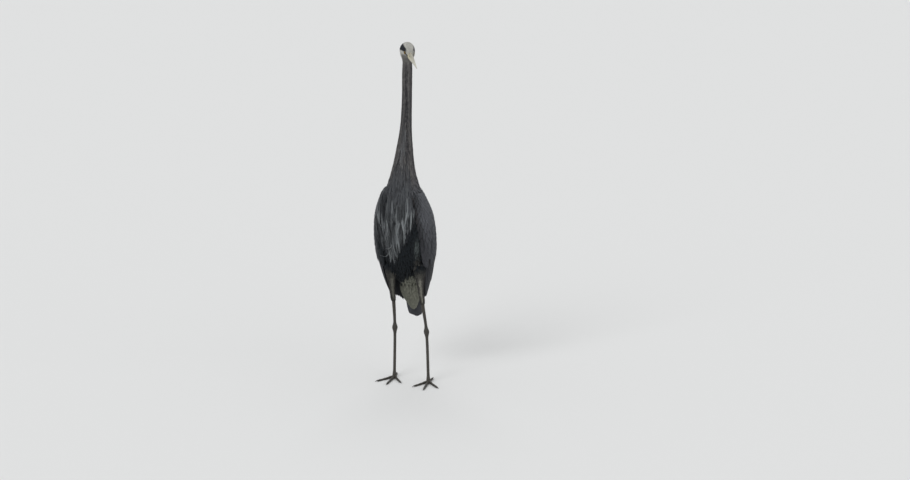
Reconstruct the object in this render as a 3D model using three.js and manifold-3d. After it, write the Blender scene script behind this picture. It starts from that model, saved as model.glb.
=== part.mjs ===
// Great blue heron, life size, standing alert with its neck raised and its head turned a little to its left.
// Units are millimetres. +Z is up, the bird faces -Y and its left side is at +X. The soles are at z = 0.
import * as THREE from 'three';
import { mergeVertices } from 'three/addons/utils/BufferGeometryUtils.js';
import Module from 'manifold-3d';

const wasm = await Module();
wasm.setup();

// ---------------------------------------------------------------- driving dimensions
const GAP = 0.35; // clearance between neighbouring pieces
const DEGREE = Math.PI / 180;
const BURIED = 4; // how deep the side edges of a feather mass lie in the body
const SWELL_ANGLE = 1.4 * DEGREE; // widens a mass on the body by about a millimetre

// The body is a stack of level slices, from the top of the neck to the wing tips. Each has a centre,
// a half width, and a reach to the front (the breast) and to the back.
const BODY = [
  { z: 1206, x: 6, y: 12, wide: 15, front: 17, back: 15 }, // under the skull
  { z: 1150, x: 6.5, y: 5, wide: 18, front: 19, back: 19 },
  { z: 1060, x: 6, y: 3, wide: 18, front: 19, back: 19 },
  { z: 970, x: 4, y: 1, wide: 19.5, front: 21, back: 20 },
  { z: 915, x: 2.5, y: -5, wide: 23, front: 24, back: 22 },
  { z: 860, x: 1.5, y: -15, wide: 30, front: 31, back: 26 },
  { z: 810, x: 0.5, y: -24, wide: 37, front: 40, back: 35 },
  { z: 760, x: 0, y: -31, wide: 48, front: 51, back: 49 }, // foot of the neck
  { z: 700, x: 0, y: -30, wide: 65, front: 67, back: 67 }, // shoulders
  { z: 640, x: 0, y: -22, wide: 80, front: 80, back: 81 },
  { z: 580, x: 0, y: -13, wide: 88, front: 86, back: 85 },
  { z: 520, x: 0, y: -2, wide: 90, front: 83, back: 87 }, // widest
  { z: 460, x: -1, y: 12, wide: 86, front: 76, back: 87 },
  { z: 400, x: -2, y: 28, wide: 77, front: 67, back: 81 },
  { z: 340, x: -3, y: 45, wide: 65, front: 57, back: 71 },
  { z: 280, x: -4, y: 63, wide: 51, front: 46, back: 58 },
  { z: 235, x: -5, y: 78, wide: 41, front: 38, back: 47 }, // wing tips
];
const NECK_TOP = 1234; // inside the skull
const TRUNK_END = 334; // the trunk rounds off here, at the vent
const TRUNK_ROUNDING = 150; // height of the rounding
const NECK_CUTS = [1180, 1045, 905, 738]; // head, upper neck, middle neck, lower neck, trunk

// The head is a row of slices square to its own axis, which runs back from the root of the bill.
const BILL_ROOT = new THREE.Vector3(28.5, -40, 1211.5);
const HEAD_YAW = 23 * DEGREE; // to the bird's left
const HEAD_PITCH = 4 * DEGREE; // bill below level
const HEAD_ROLL = 7 * DEGREE; // crown to the bird's left
const HEAD_LENGTH = 104;
const HEAD = [
  { s: 0, up: 11.5, down: 12.5, wide: 10 },
  { s: 14, up: 17.5, down: 16, wide: 14.5 },
  { s: 30, up: 25, down: 21, wide: 20 },
  { s: 48, up: 30, down: 26, wide: 24.5 },
  { s: 66, up: 30.5, down: 29, wide: 26.5 },
  { s: 84, up: 26, down: 28, wide: 24.5 },
  { s: 104, up: 15, down: 18, wide: 16 },
];
const BILL_LENGTH = 140;
const BILL_HALF_WIDTH = 8.6;
const BILL_RISE = 11; // culmen above the axis at the root
const BILL_DROP = 12; // chin below the axis at the root
const BILL_INSET = 12; // how far the root reaches into the head
const MOUTH_LINE = -2.5; // the commissure, below the axis
const EYE = { s: 27, side: 11.2, up: 3.5, radius: 8 };

// Masses of feathers laid on the body, from the height of their top to that of their tip.
const WING = { top: 724, tip: 236, thick: 21 };
const COVERT_HEM = { front: 400, frontY: -25, back: 500, backY: 100, drop: 3.5 }; // over the flight feathers
const SCAPULAR = { top: 716, tip: 330, thick: 7 };
const BREAST_PLUMES = { top: 775, tip: 455, thick: 9, lobes: 6, lobeDepth: 36 };
// The tail leans back from straight down and veers to the left by a share of its length.
const TAIL = { root: 360, length: 181, halfWidth: 21, spread: 5, thick: 5.5, lean: 22 * DEGREE, veer: 0.05, lobes: 5 };
const UNDERTAIL = { root: 402, length: 170, halfWidth: 37, thick: 24, taper: 0.4 };

const HOCK_HEIGHT = 182;
const ANKLE_HEIGHT = 15;
const THIGH_TOP = 31; // half widths of the feathered thigh
const THIGH_FOOT = 8.5;
const THIGH_TAPER = 2.2; // above 1, it narrows most near the body
const THIGH_DEPTH = { ends: 1.2, swell: 0.6 }; // depth from front to back by width, at its ends and added between
const TIBIA_CUT = 200;
const SHANK_RADIUS = 5.2;
const TOE_RADIUS = 4.6;
// Each leg as a line through the hip, knee, feather hem, hock and foot.
const LEGS = {
  right: { side: -1, hip: [-52, -2, 442], knee: [-51, -4, 370], hem: [-46, 12, 285], hock: [-45, 24, 182], foot: [-42, 6, 3] },
  left: { side: 1, hip: [56, -12, 442], knee: [60, -18, 370], hem: [67, -13, 285], hock: [80, -11, 182], foot: [93, -34, 3] },
};
// Toes: turned from straight ahead, positive away from the body's middle, with the claw at the end.
const TOES = {
  inner: { turn: -30, length: 74, claw: 13 },
  middle: { turn: 3, length: 96, claw: 15 },
  outer: { turn: 36, length: 80, claw: 13 },
  hind: { turn: 176, length: 50, claw: 18 },
};

// ---------------------------------------------------------------- curves through stations

// A smooth curve through the stations of one column: a cubic whose slope at each station is that of
// the chord between its two neighbours.
function through(stations, at, key) {
  const rows = [...stations].sort((a, b) => a[at] - b[at]);
  const last = rows.length - 1;
  const slope = rows.map((_, i) => {
    const lo = rows[Math.max(i - 1, 0)];
    const hi = rows[Math.min(i + 1, last)];
    return (hi[key] - lo[key]) / (hi[at] - lo[at]);
  });
  return (value) => {
    const v = THREE.MathUtils.clamp(value, rows[0][at], rows[last][at]);
    let i = 0;
    while (i < last - 1 && v > rows[i + 1][at]) i += 1;
    const step = rows[i + 1][at] - rows[i][at];
    const t = (v - rows[i][at]) / step;
    const a = rows[i][key];
    const b = rows[i + 1][key];
    const bend = (1 - t) * t * ((1 - t) * (slope[i] * step - b + a) - t * (slope[i + 1] * step - b + a));
    return a + t * (b - a) + bend;
  };
}

const mix = THREE.MathUtils.lerp;
const ease = (value, from, to) => THREE.MathUtils.smoothstep(value, Math.min(from, to), Math.max(from, to));
// A quarter circle: 0 at an end, and 1 once t reaches 1.
const round = (t) => Math.sqrt(1 - (1 - THREE.MathUtils.clamp(t, 0, 1)) ** 2);

// ---------------------------------------------------------------- solids

// A closed sheet wrapped round: place(angle, along) gives the point at an angle round the piece,
// in radians, and at a share of its length. The two ends must close to points.
function wrapped(sides, rings, place) {
  const geometry = new THREE.SphereGeometry(1, sides, rings);
  const { position, uv } = geometry.attributes;
  for (let i = 0; i < position.count; i += 1) {
    const ring = Math.round((1 - uv.getY(i)) * rings);
    const atPole = ring === 0 || ring === rings;
    const step = Math.round(uv.getX(i) * sides) % sides;
    const point = place(atPole ? 0 : (step / sides) * 2 * Math.PI, ring / rings);
    position.setXYZ(i, point.x, point.y, point.z);
  }
  return geometry;
}

// A solid of a closed geometry, turned right side out.
function solid(geometry) {
  const bare = new THREE.BufferGeometry();
  bare.setAttribute('position', geometry.getAttribute('position'));
  bare.setIndex(geometry.index);
  const merged = mergeVertices(bare, 1e-4);
  const build = (triVerts) =>
    new wasm.Manifold(
      new wasm.Mesh({ numProp: 3, vertProperties: new Float32Array(merged.attributes.position.array), triVerts }),
    );
  const corners = new Uint32Array(merged.index.array);
  // Triangles that close to a line at a pole are dropped.
  const kept = [];
  for (let i = 0; i < corners.length; i += 3) {
    const [a, b, c] = corners.subarray(i, i + 3);
    if (a !== b && b !== c && c !== a) kept.push(a, b, c);
  }
  const made = build(new Uint32Array(kept));
  if (made.volume() > 0) return made;
  for (let i = 0; i < kept.length; i += 3) [kept[i + 1], kept[i + 2]] = [kept[i + 2], kept[i + 1]];
  return build(new Uint32Array(kept));
}

// The largest body of a solid, in case a cut leaves crumbs.
function largest(made) {
  const bodies = made.decompose();
  return bodies.reduce((best, body) => (body.volume() > best.volume() ? body : best));
}

const less = (made, ...cutters) => cutters.reduce((left, cutter) => left.subtract(cutter), made);
const between = (made, low, high) => made.trimByPlane([0, 0, 1], low).trimByPlane([0, 0, -1], -high);

// A round rod along a curve, with a radius that changes along it. flat squeezes the rod across `level`.
function rod(curve, radius, { sides = 12, rings = 20, flat = 1, level = new THREE.Vector3(0, 0, 1) } = {}) {
  return wrapped(sides, rings, (angle, along) => {
    const t = THREE.MathUtils.clamp(along * 1.04 - 0.02, 0, 1);
    const centre = curve.getPoint(t);
    const ahead = curve.getTangent(t);
    const across = new THREE.Vector3().crossVectors(ahead, level).normalize();
    const over = new THREE.Vector3().crossVectors(across, ahead).normalize();
    const end = Math.min(round(along / 0.04), round((1 - along) / 0.04));
    const r = radius(t) * end;
    return centre.addScaledVector(across, r * Math.cos(angle)).addScaledVector(over, r * flat * Math.sin(angle));
  });
}

// ---------------------------------------------------------------- body and head

const slice = {};
for (const key of ['x', 'y', 'wide', 'front', 'back']) slice[key] = through(BODY, 'z', key);

// A point on the body's outer surface. angle 0 is the breast, 90 degrees the bird's left side.
// lift moves it out from the surface, and share shrinks the slice.
function onBody(z, angle, lift = 0, share = 1) {
  const reach = Math.cos(angle) > 0 ? slice.front(z) : slice.back(z);
  return new THREE.Vector3(
    slice.x(z) + (slice.wide(z) * share + lift) * Math.sin(angle),
    slice.y(z) - (reach * share + lift) * Math.cos(angle),
    z,
  );
}

// Neck and trunk. The trunk rounds off below towards the vent, and drifts back as it does.
function bodyLoft(grow = 0) {
  const top = NECK_TOP + grow;
  const bottom = TRUNK_END - grow;
  return wrapped(20, 31, (angle, along) => {
    const z = mix(top, bottom, along);
    const closing = round((z - bottom) / TRUNK_ROUNDING);
    const crown = round((top - z) / 12);
    const point = onBody(z, angle, grow * Math.min(closing, crown), closing * crown);
    point.y += 16 * (1 - closing);
    return point;
  });
}

const headTurn = new THREE.Matrix4()
  .makeRotationZ(HEAD_YAW)
  .multiply(new THREE.Matrix4().makeRotationX(HEAD_PITCH))
  .multiply(new THREE.Matrix4().makeRotationY(HEAD_ROLL));
// A point given in the head's own frame: s behind the root of the bill, side to its left, up.
function inHead(s, side, up) {
  return new THREE.Vector3(side, s, up).applyMatrix4(headTurn).add(BILL_ROOT);
}

const skull = {};
for (const key of ['up', 'down', 'wide']) skull[key] = through(HEAD, 's', key);

function headLoft(grow = 0) {
  return wrapped(16, 12, (angle, along) => {
    const s = mix(-grow, HEAD_LENGTH + grow, along);
    const closing = Math.min(round(along / 0.05), round((1 - along) / 0.3));
    const height = Math.sin(angle) > 0 ? skull.up(s) : skull.down(s);
    return inHead(s, (skull.wide(s) + grow) * closing * Math.cos(angle), (height + grow) * closing * Math.sin(angle));
  });
}

// Both halves of the bill as one spike: the culmen runs straight and dips at the tip, and the
// underside rises to meet it.
function billLoft(grow = 0) {
  return wrapped(12, 10, (angle, along) => {
    const s = mix(BILL_INSET + grow, -BILL_LENGTH - grow, along);
    const t = THREE.MathUtils.clamp(-s / BILL_LENGTH, 0, 1);
    const taper = (1 - t) ** 0.86;
    const end = round(along / 0.03);
    const side = (0.6 + BILL_HALF_WIDTH * taper * (1 - 0.25 * t) + grow) * Math.cos(angle) * end;
    const rise = (0.6 + BILL_RISE * taper * (1 + 0.15 * t) + grow) * end;
    const drop = (0.6 + BILL_DROP * taper + grow) * end;
    const height = Math.sin(angle) > 0 ? rise : drop;
    return inHead(s, along >= 1 ? 0 : side, along >= 1 ? 0 : height * Math.sin(angle) - 1.5 * t * t);
  });
}

function eyeBall(side, grow = 0) {
  const centre = inHead(EYE.s, side * EYE.side, EYE.up);
  return new THREE.SphereGeometry(EYE.radius + grow, 10, 7).translate(centre.x, centre.y, centre.z);
}

// ---------------------------------------------------------------- feather masses laid on the body

// A lens-shaped mass that lies on one side of the body. edges(z) gives the angles that it spans,
// lift(z, across) its outer height over the body and sink how deep it starts. Its side edges are
// buried a little. hem raises its lower edge, by a share of its width, and grow swells it.
function laid({ top, tip, side, sides, rings, edges, lift, sink, hem = () => 0, grow = 0 }) {
  return wrapped(sides, rings, (turn, along) => {
    const across = Math.cos(turn);
    const z = mix(top + grow, tip + hem(across) - grow, along);
    const end = Math.min(round(along / 0.06), round((1 - along) / 0.1));
    const [from, to] = edges(z);
    const halfSpan = (to - from) / 2 + grow * SWELL_ANGLE;
    const angle = (from + to) / 2 + halfSpan * across * (along === 0 || along === 1 ? 0 : mix(end, 1, 0.5));
    const height = Math.sin(turn) > 0 ? lift(z, across) + BURIED : sink - BURIED;
    return onBody(z, angle * side, (height + grow) * Math.sin(turn) * end - BURIED);
  });
}

// Pointed feather ends along a hem: 0 at each point, 1 between two of them.
const points = (across, count) => Math.abs(((((across + 1) / 2) * count) % 1) - 0.5) * 2;

// Folded wing, from the wrist beside the breast to the tips of the flight feathers over the tail.
// drop thins it, for the flight feathers that lie under the coverts.
function wing(side, grow = 0, drop = 0) {
  const share = (z) => (WING.top - z) / (WING.top - WING.tip);
  return laid({
    ...WING,
    side,
    grow,
    sides: 16,
    rings: 14,
    edges: (z) => {
      const down = share(z);
      const front = mix(40, 62, ease(down, 0, 1)) + 36 * ease(down, 0.72, 1);
      const back = mix(112, 177, ease(down, 0, 0.34));
      return [front * DEGREE, back * DEGREE];
    },
    lift: (z, across) => {
      const down = share(z);
      const body = mix(0.72, 1, ease(down, 0, 0.25)) * mix(1, 0.5, ease(down, 0.45, 1));
      return WING.thick * body * (1 - 0.3 * across) - drop;
    },
    sink: 12 - drop,
  });
}

// The long plumes of the shoulders, over the wings' upper edges.
function scapulars(side) {
  const share = (z) => (SCAPULAR.top - z) / (SCAPULAR.top - SCAPULAR.tip);
  return laid({
    ...SCAPULAR,
    side,
    sides: 12,
    rings: 9,
    edges: (z) => [mix(122, 158, ease(share(z), 0.1, 1)) * DEGREE, 179.2 * DEGREE],
    lift: (z, across) => {
      const wingHeight = WING.thick * mix(1, 0.62, ease(share(z), 0.3, 1)) * Math.sqrt(0.9 - 0.5 * across);
      return wingHeight + SCAPULAR.thick;
    },
    sink: 6,
  });
}

// Plumes that hang from the foot of the neck over the breast and end in points.
function breastPlumes() {
  const { top, tip, thick, lobes, lobeDepth } = BREAST_PLUMES;
  return laid({
    top,
    tip,
    side: 1,
    sides: lobes * 4,
    rings: 7,
    hem: (across) => lobeDepth * points(across, lobes) + 70 * across * across,
    edges: (z) => {
      const half = mix(62, 30, ease(z, 560, top)) * DEGREE;
      return [-half, half];
    },
    lift: () => thick,
    sink: 5,
  });
}

// ---------------------------------------------------------------- tail

// A point in the tail's frame: down its length, across it and out from its upper side.
function inTail(down, across, out) {
  const { root, lean, veer } = TAIL;
  const start = new THREE.Vector3(0, 74, root);
  return start
    .addScaledVector(new THREE.Vector3(0, Math.sin(lean), -Math.cos(lean)), down)
    .addScaledVector(new THREE.Vector3(0, Math.cos(lean), Math.sin(lean)), out)
    .add(new THREE.Vector3(across + veer * down, 0, 0));
}

// Twelve tail feathers, folded: a thin slab, arched across and rounded at the tip.
function tailSlab(grow = 0) {
  const { length, halfWidth, spread, thick, lobes } = TAIL;
  return wrapped(lobes * 4, 7, (turn, along) => {
    const share = Math.cos(turn);
    const inside = along > 0 && along < 1;
    const across = inside ? (halfWidth + spread * along + grow) * share : 0;
    const arch = -5 * (across / halfWidth) ** 2;
    const depth = (thick * round((1 - along) / 0.1) + grow) * Math.sin(turn);
    const shorter = 7 * points(share, lobes) + 20 * share * share;
    return inTail(mix(-grow, length + grow - shorter, along), across, inside ? arch + depth : 0);
  });
}

// Soft pale feathers under the tail.
function undertail() {
  const { root, length, halfWidth, thick, taper } = UNDERTAIL;
  return wrapped(12, 6, (turn, along) => {
    const down = TAIL.root - root + length * along;
    const end = Math.min(round((1 - along) / 0.5), round(along / 0.1));
    const width = halfWidth * mix(0.72, 1, ease(along, 0, 0.5)) * (1 - taper * ease(along, 0.45, 1));
    const across = width * end * Math.cos(turn);
    const out = -thick * 0.55 - 4 * along + thick * end * Math.sin(turn) * mix(1.15, 0.55, along);
    const ends = along <= 0 || along >= 1;
    return inTail(down, ends ? 0 : across, ends ? -thick * 0.55 - 4 * along : out);
  });
}

// ---------------------------------------------------------------- legs and feet

const vector = (numbers) => new THREE.Vector3(...numbers);

function thigh(leg, grow = 0) {
  const curve = new THREE.CatmullRomCurve3([leg.hip, leg.knee, leg.hem].map(vector));
  return wrapped(10, 7, (angle, along) => {
    const centre = curve.getPoint(along);
    const cuff = round((1 - along) / 0.06);
    const r = (mix(THIGH_FOOT, THIGH_TOP, (1 - along) ** THIGH_TAPER) + grow) * Math.min(round(along / 0.2), cuff);
    const deep = r * (THIGH_DEPTH.ends + 4 * THIGH_DEPTH.swell * along * (1 - along));
    return centre.add(new THREE.Vector3(r * Math.cos(angle), deep * Math.sin(angle), 0));
  });
}

// The bare leg: lower thigh, hock joint and shank.
function bareLeg(leg, grow = 0) {
  const above = vector(leg.hem).lerp(vector(leg.knee), 0.3);
  const heel = vector(leg.hock).add(new THREE.Vector3(0, 2.5, 0));
  const curve = new THREE.CatmullRomCurve3([above, vector(leg.hem), heel, vector(leg.foot)], false, 'chordal');
  const radius = (t) => {
    const z = curve.getPoint(t).z;
    const hock = Math.exp(-(((z - HOCK_HEIGHT) / 13) ** 2));
    const ankle = Math.exp(-(((z - 10) / 12) ** 2));
    return SHANK_RADIUS + 4 * hock + 2 * ankle + grow + 1.2 * ease(z, 200, 290);
  };
  return rod(curve, radius, { sides: 8, rings: 20, flat: 1.12, level: new THREE.Vector3(1, 0, 0) });
}

const SOLE = 3.4; // height of a toe's middle over the ground
function toeCurve(leg, toe) {
  const turn = toe.turn * DEGREE * leg.side;
  const ahead = new THREE.Vector3(Math.sin(turn), -Math.cos(turn), 0);
  const root = new THREE.Vector3(leg.foot[0], leg.foot[1], 0);
  const at = (share, rise) => root.clone().addScaledVector(ahead, toe.length * share).setZ(SOLE + rise);
  const curve = new THREE.CatmullRomCurve3([at(-0.1, 3), at(0.15, 2.6), at(0.45, 1), at(0.75, 0.2), at(1, 0)]);
  return { curve, ahead, end: at(1, 0) };
}

// The joint from which the toes spread.
function footPad(leg) {
  const pad = new THREE.SphereGeometry(1, 8, 6).scale(8.5, 10, 7.5);
  return pad.translate(leg.foot[0], leg.foot[1], 6);
}

function toeRod(leg, toe, grow = 0) {
  const { curve } = toeCurve(leg, toe);
  const joints = [0.34, 0.62, 0.86];
  const radius = (t) => {
    const knuckles = joints.reduce((sum, at) => sum + Math.exp(-(((t - at) / 0.06) ** 2)), 0);
    return TOE_RADIUS * mix(1, 0.68, t) + 0.6 * knuckles + grow;
  };
  return rod(curve, radius, { sides: 6, rings: 7 });
}

function claw(leg, toe) {
  const { ahead, end } = toeCurve(leg, toe);
  const start = end.clone().addScaledVector(ahead, -1).setZ(SOLE + 0.4);
  const crest = start.clone().addScaledVector(ahead, toe.claw * 0.55).setZ(SOLE + 1.6);
  const point = start.clone().addScaledVector(ahead, toe.claw).setZ(1.2);
  const curve = new THREE.CatmullRomCurve3([start, crest, point]);
  return rod(curve, (t) => mix(2.5, 0.6, t), { sides: 5, rings: 4 });
}

// ---------------------------------------------------------------- crest

// A long black plume from the side of the nape, hanging behind the neck.
function crestPlume(side) {
  const start = inHead(84, side * 14, 12);
  const over = inHead(113, side * 8, 3);
  const hang = over.clone().add(new THREE.Vector3(5, 9, -50));
  const end = over.clone().add(new THREE.Vector3(12 + side * 2, 5, -118));
  const curve = new THREE.CatmullRomCurve3([start, over, hang, end]);
  return rod(curve, (t) => mix(2.6, 0.7, t), { sides: 5, rings: 10, flat: 0.6, level: new THREE.Vector3(0, 1, 0) });
}

// ---------------------------------------------------------------- materials

const finish = (color, roughness) => new THREE.MeshStandardMaterial({ color, roughness, metalness: 0 });
const FINISH = {
  crown: finish(0xd9d8d2, 0.85),
  neck: finish(0x6f6866, 0.88),
  mantle: finish(0x6c7078, 0.85),
  belly: finish(0x23262b, 0.88),
  flight: finish(0x33373f, 0.75),
  plume: finish(0x9a9fa3, 0.85),
  undertail: finish(0xbdbcae, 0.9),
  thigh: finish(0x6e5a4c, 0.9),
  crest: finish(0x1c1e22, 0.7),
  bill: finish(0xb9a878, 0.45),
  iris: finish(0xd8b23a, 0.12),
  leg: finish(0x57544a, 0.6),
  claw: finish(0x26241f, 0.4),
};

// ---------------------------------------------------------------- assembly

const SIDES = [['left', 1], ['right', -1]];
const heron = new THREE.Group();
heron.name = 'great_blue_heron';

function add(name, made, material) {
  const { vertProperties, triVerts, numProp } = largest(made).getMesh();
  const position = new Float32Array((vertProperties.length / numProp) * 3);
  for (let i = 0; i < position.length / 3; i += 1) {
    position.set(vertProperties.subarray(i * numProp, i * numProp + 3), i * 3);
  }
  const geometry = new THREE.BufferGeometry();
  geometry.setAttribute('position', new THREE.BufferAttribute(position, 3));
  geometry.setIndex(new THREE.BufferAttribute(triVerts, 1));
  geometry.computeVertexNormals();
  const mesh = new THREE.Mesh(geometry, material);
  mesh.name = name;
  heron.add(mesh);
}

const body = solid(bodyLoft());
const bodyRoom = solid(bodyLoft(GAP));
const headRoom = solid(headLoft(GAP));
const billRoom = solid(billLoft(GAP));
const wholeBird = less(
  body.add(solid(headLoft())),
  billRoom,
  solid(eyeBall(1, GAP)),
  solid(eyeBall(-1, GAP)),
);

// Head, neck and trunk are one form, parted by thin level cuts.
const [headCut, upperCut, middleCut, lowerCut] = NECK_CUTS;
const HALF = GAP / 2;
add('head', between(wholeBird, headCut + HALF, NECK_TOP + 200), FINISH.crown);
add('neck_upper', between(wholeBird, upperCut + HALF, headCut - HALF), FINISH.neck);
add('neck_middle', between(wholeBird, middleCut + HALF, upperCut - HALF), FINISH.neck);
add('neck_lower', between(wholeBird, lowerCut + HALF, middleCut - HALF), FINISH.neck);
add('trunk', between(wholeBird, 0, lowerCut - HALF), FINISH.belly);

// The bill's halves meet along the mouth line.
const bill = solid(billLoft());
const mouthPoint = inHead(0, 0, MOUTH_LINE);
const mouthNormal = inHead(0, 0, MOUTH_LINE + 1).sub(mouthPoint);
const mouthOffset = mouthPoint.dot(mouthNormal);
const upNormal = mouthNormal.toArray();
const downNormal = mouthNormal.clone().negate().toArray();
add('bill_upper', bill.trimByPlane(upNormal, mouthOffset + HALF), FINISH.bill);
add('bill_lower', bill.trimByPlane(downNormal, -mouthOffset + HALF), FINISH.bill);
for (const [name, side] of SIDES) {
  add(`eye_${name}`, solid(eyeBall(side)), FINISH.iris);
  add(`crest_plume_${name}`, less(solid(crestPlume(side)), headRoom, bodyRoom), FINISH.crest);
}

const rooms = { wings: [], thighs: [] };
// The coverts end at a slanting hem, and the flight feathers come out from under them.
const hemSlope = (COVERT_HEM.back - COVERT_HEM.front) / (COVERT_HEM.backY - COVERT_HEM.frontY);
const hemNormal = new THREE.Vector3(0, -hemSlope, 1).normalize();
const hemOffset = hemNormal.dot(new THREE.Vector3(0, COVERT_HEM.frontY, COVERT_HEM.front));
for (const [name, side] of SIDES) {
  const coverts = solid(wing(side)).trimByPlane(hemNormal.toArray(), hemOffset);
  const covertRoom = solid(wing(side, GAP)).trimByPlane(hemNormal.toArray(), hemOffset - GAP);
  const flight = less(solid(wing(side, 0, COVERT_HEM.drop)), covertRoom, bodyRoom);
  add(`wing_coverts_${name}`, less(coverts, bodyRoom), FINISH.mantle);
  add(`flight_feathers_${name}`, flight, FINISH.flight);
  rooms.wings.push(solid(wing(side, GAP)));
}
for (const [name, side] of SIDES) {
  add(`scapular_plumes_${name}`, less(solid(scapulars(side)), bodyRoom, ...rooms.wings), FINISH.plume);
}
add('breast_plumes', less(solid(breastPlumes()), bodyRoom, ...rooms.wings), FINISH.plume);

for (const [name, leg] of Object.entries(LEGS)) {
  const bare = solid(bareLeg(leg));
  const bareRoom = solid(bareLeg(leg, GAP));
  const thighSolid = solid(thigh(leg));
  rooms.thighs.push(solid(thigh(leg, GAP)));
  add(`thigh_${name}`, less(thighSolid, bodyRoom, bareRoom, ...rooms.wings), FINISH.thigh);
  add(`tibia_${name}`, between(less(bare, bodyRoom), TIBIA_CUT + HALF, 400), FINISH.leg);
  add(`tarsus_${name}`, between(bare, ANKLE_HEIGHT + HALF, TIBIA_CUT - HALF), FINISH.leg);
  const toes = Object.values(TOES).map((toe) => solid(toeRod(leg, toe)));
  const ankle = bare.trimByPlane([0, 0, -1], -ANKLE_HEIGHT + HALF).add(solid(footPad(leg)));
  const foot = toes.reduce((joined, toe) => joined.add(toe), ankle);
  const claws = Object.entries(TOES).map(([toeName, toe]) => [toeName, solid(claw(leg, toe))]);
  add(`foot_${name}`, foot.trimByPlane([0, 0, 1], 0), FINISH.leg);
  for (const [toeName, made] of claws) {
    const toeRoom = solid(toeRod(leg, TOES[toeName], GAP));
    add(`claw_${toeName}_${name}`, less(made, toeRoom).trimByPlane([0, 0, 1], 0), FINISH.claw);
  }
}

const tailRoom = solid(tailSlab(GAP));
add('tail', less(solid(tailSlab()), bodyRoom, ...rooms.wings), FINISH.flight);
add('undertail_coverts', less(solid(undertail()), tailRoom, bodyRoom, ...rooms.wings, ...rooms.thighs), FINISH.undertail);

// The middle of the outline stands over the origin.
const outline = new THREE.Box3().setFromObject(heron);
const middle = outline.getCenter(new THREE.Vector3());
heron.children.forEach((mesh) => mesh.geometry.translate(-middle.x, -middle.y, -outline.min.z));

export default heron;
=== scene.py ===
"""A great blue heron, standing alert: feathers, skin, bill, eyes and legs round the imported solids.

Shapes are worked out in the solids' own design frame, in millimetres, and put into the meshes in
metres. The bird faces -Y, its left side is at +X, and the soles are at z = 0. Angles round the body
run from 0 at the breast to half a turn at the back, and are positive on the left.
"""

import bpy
import numpy as np
from mathutils import Matrix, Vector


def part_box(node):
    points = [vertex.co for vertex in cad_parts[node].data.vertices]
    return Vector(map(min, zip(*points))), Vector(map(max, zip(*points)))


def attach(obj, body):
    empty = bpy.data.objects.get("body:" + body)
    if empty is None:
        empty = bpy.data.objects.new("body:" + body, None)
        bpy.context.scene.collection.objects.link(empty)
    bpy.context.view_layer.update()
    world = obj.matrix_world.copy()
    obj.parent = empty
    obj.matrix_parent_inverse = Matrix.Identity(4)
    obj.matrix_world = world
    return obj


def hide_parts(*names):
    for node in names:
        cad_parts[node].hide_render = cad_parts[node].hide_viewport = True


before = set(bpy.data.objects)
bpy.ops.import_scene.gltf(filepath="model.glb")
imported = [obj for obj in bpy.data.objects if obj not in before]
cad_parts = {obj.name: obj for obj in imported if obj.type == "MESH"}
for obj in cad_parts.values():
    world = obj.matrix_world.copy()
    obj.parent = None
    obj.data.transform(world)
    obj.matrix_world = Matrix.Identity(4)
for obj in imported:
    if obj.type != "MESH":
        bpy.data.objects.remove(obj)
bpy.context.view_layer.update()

DEG = np.pi / 180
METRE = 0.001  # metres in a millimetre
UP = np.array((0.0, 0.0, 1.0))

# ---------------------------------------------------------------- driving dimensions

# Level slices of the neck and trunk: height, centre, half width, reach to the breast and the back.
BODY = np.array([
    # z, x, y, wide, front, back
    (1206, 6, 12, 15, 17, 15),  # under the skull
    (1150, 6.5, 5, 18, 19, 19),
    (1060, 6, 3, 18, 19, 19),
    (970, 4, 1, 19.5, 21, 20),
    (915, 2.5, -5, 23, 24, 22),
    (860, 1.5, -15, 30, 31, 26),
    (810, 0.5, -24, 37, 40, 35),
    (760, 0, -31, 48, 51, 49),  # foot of the neck
    (700, 0, -30, 65, 67, 67),  # shoulders
    (640, 0, -22, 80, 80, 81),
    (580, 0, -13, 88, 86, 85),
    (520, 0, -2, 90, 83, 87),  # widest
    (460, -1, 12, 86, 76, 87),
    (400, -2, 28, 77, 67, 81),
    (340, -3, 45, 65, 57, 71),
    (280, -4, 63, 51, 46, 58),
    (235, -5, 78, 41, 38, 47),  # wing tips
], float)
NECK_TOP, NECK_ROUNDING = 1234.0, 12.0
TRUNK_END, TRUNK_ROUNDING, TRUNK_DRIFT = 334.0, 150.0, 16.0

# Slices of the head square to its axis, which runs back from the root of the bill.
HEAD = np.array([
    # s, side, shift, wide, up, down
    (0, 0, 0, 10, 11.5, 12.5),
    (14, 0, 0, 14.5, 17.5, 16),
    (30, 0, 0, 20, 25, 21),
    (48, 0, 0, 24.5, 30, 26),
    (66, 0, 0, 26.5, 30.5, 29),
    (84, 0, 0, 24.5, 26, 28),
    (104, 0, 0, 16, 15, 18),
], float)
HEAD_LENGTH = 104.0
HEAD_YAW, HEAD_PITCH, HEAD_ROLL = 23 * DEG, 4 * DEG, 7 * DEG
BILL_ROOT = np.array((28.5, -40.0, 1211.5))
BILL_LENGTH, BILL_HALF_WIDTH, BILL_RISE, BILL_DROP = 140.0, 8.6, 11.0, 12.0
BILL_INSET, BILL_TAPER, MOUTH_LINE = 12.0, 0.86, -2.5
EYE_BACK, EYE_SIDE, EYE_UP, EYE_RADIUS = 27.0, 11.2, 3.5, 8.0
EYE_TURN = 17 * DEG  # the eye looks out and this much forward
LID_RADIUS = 5.4

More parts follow.
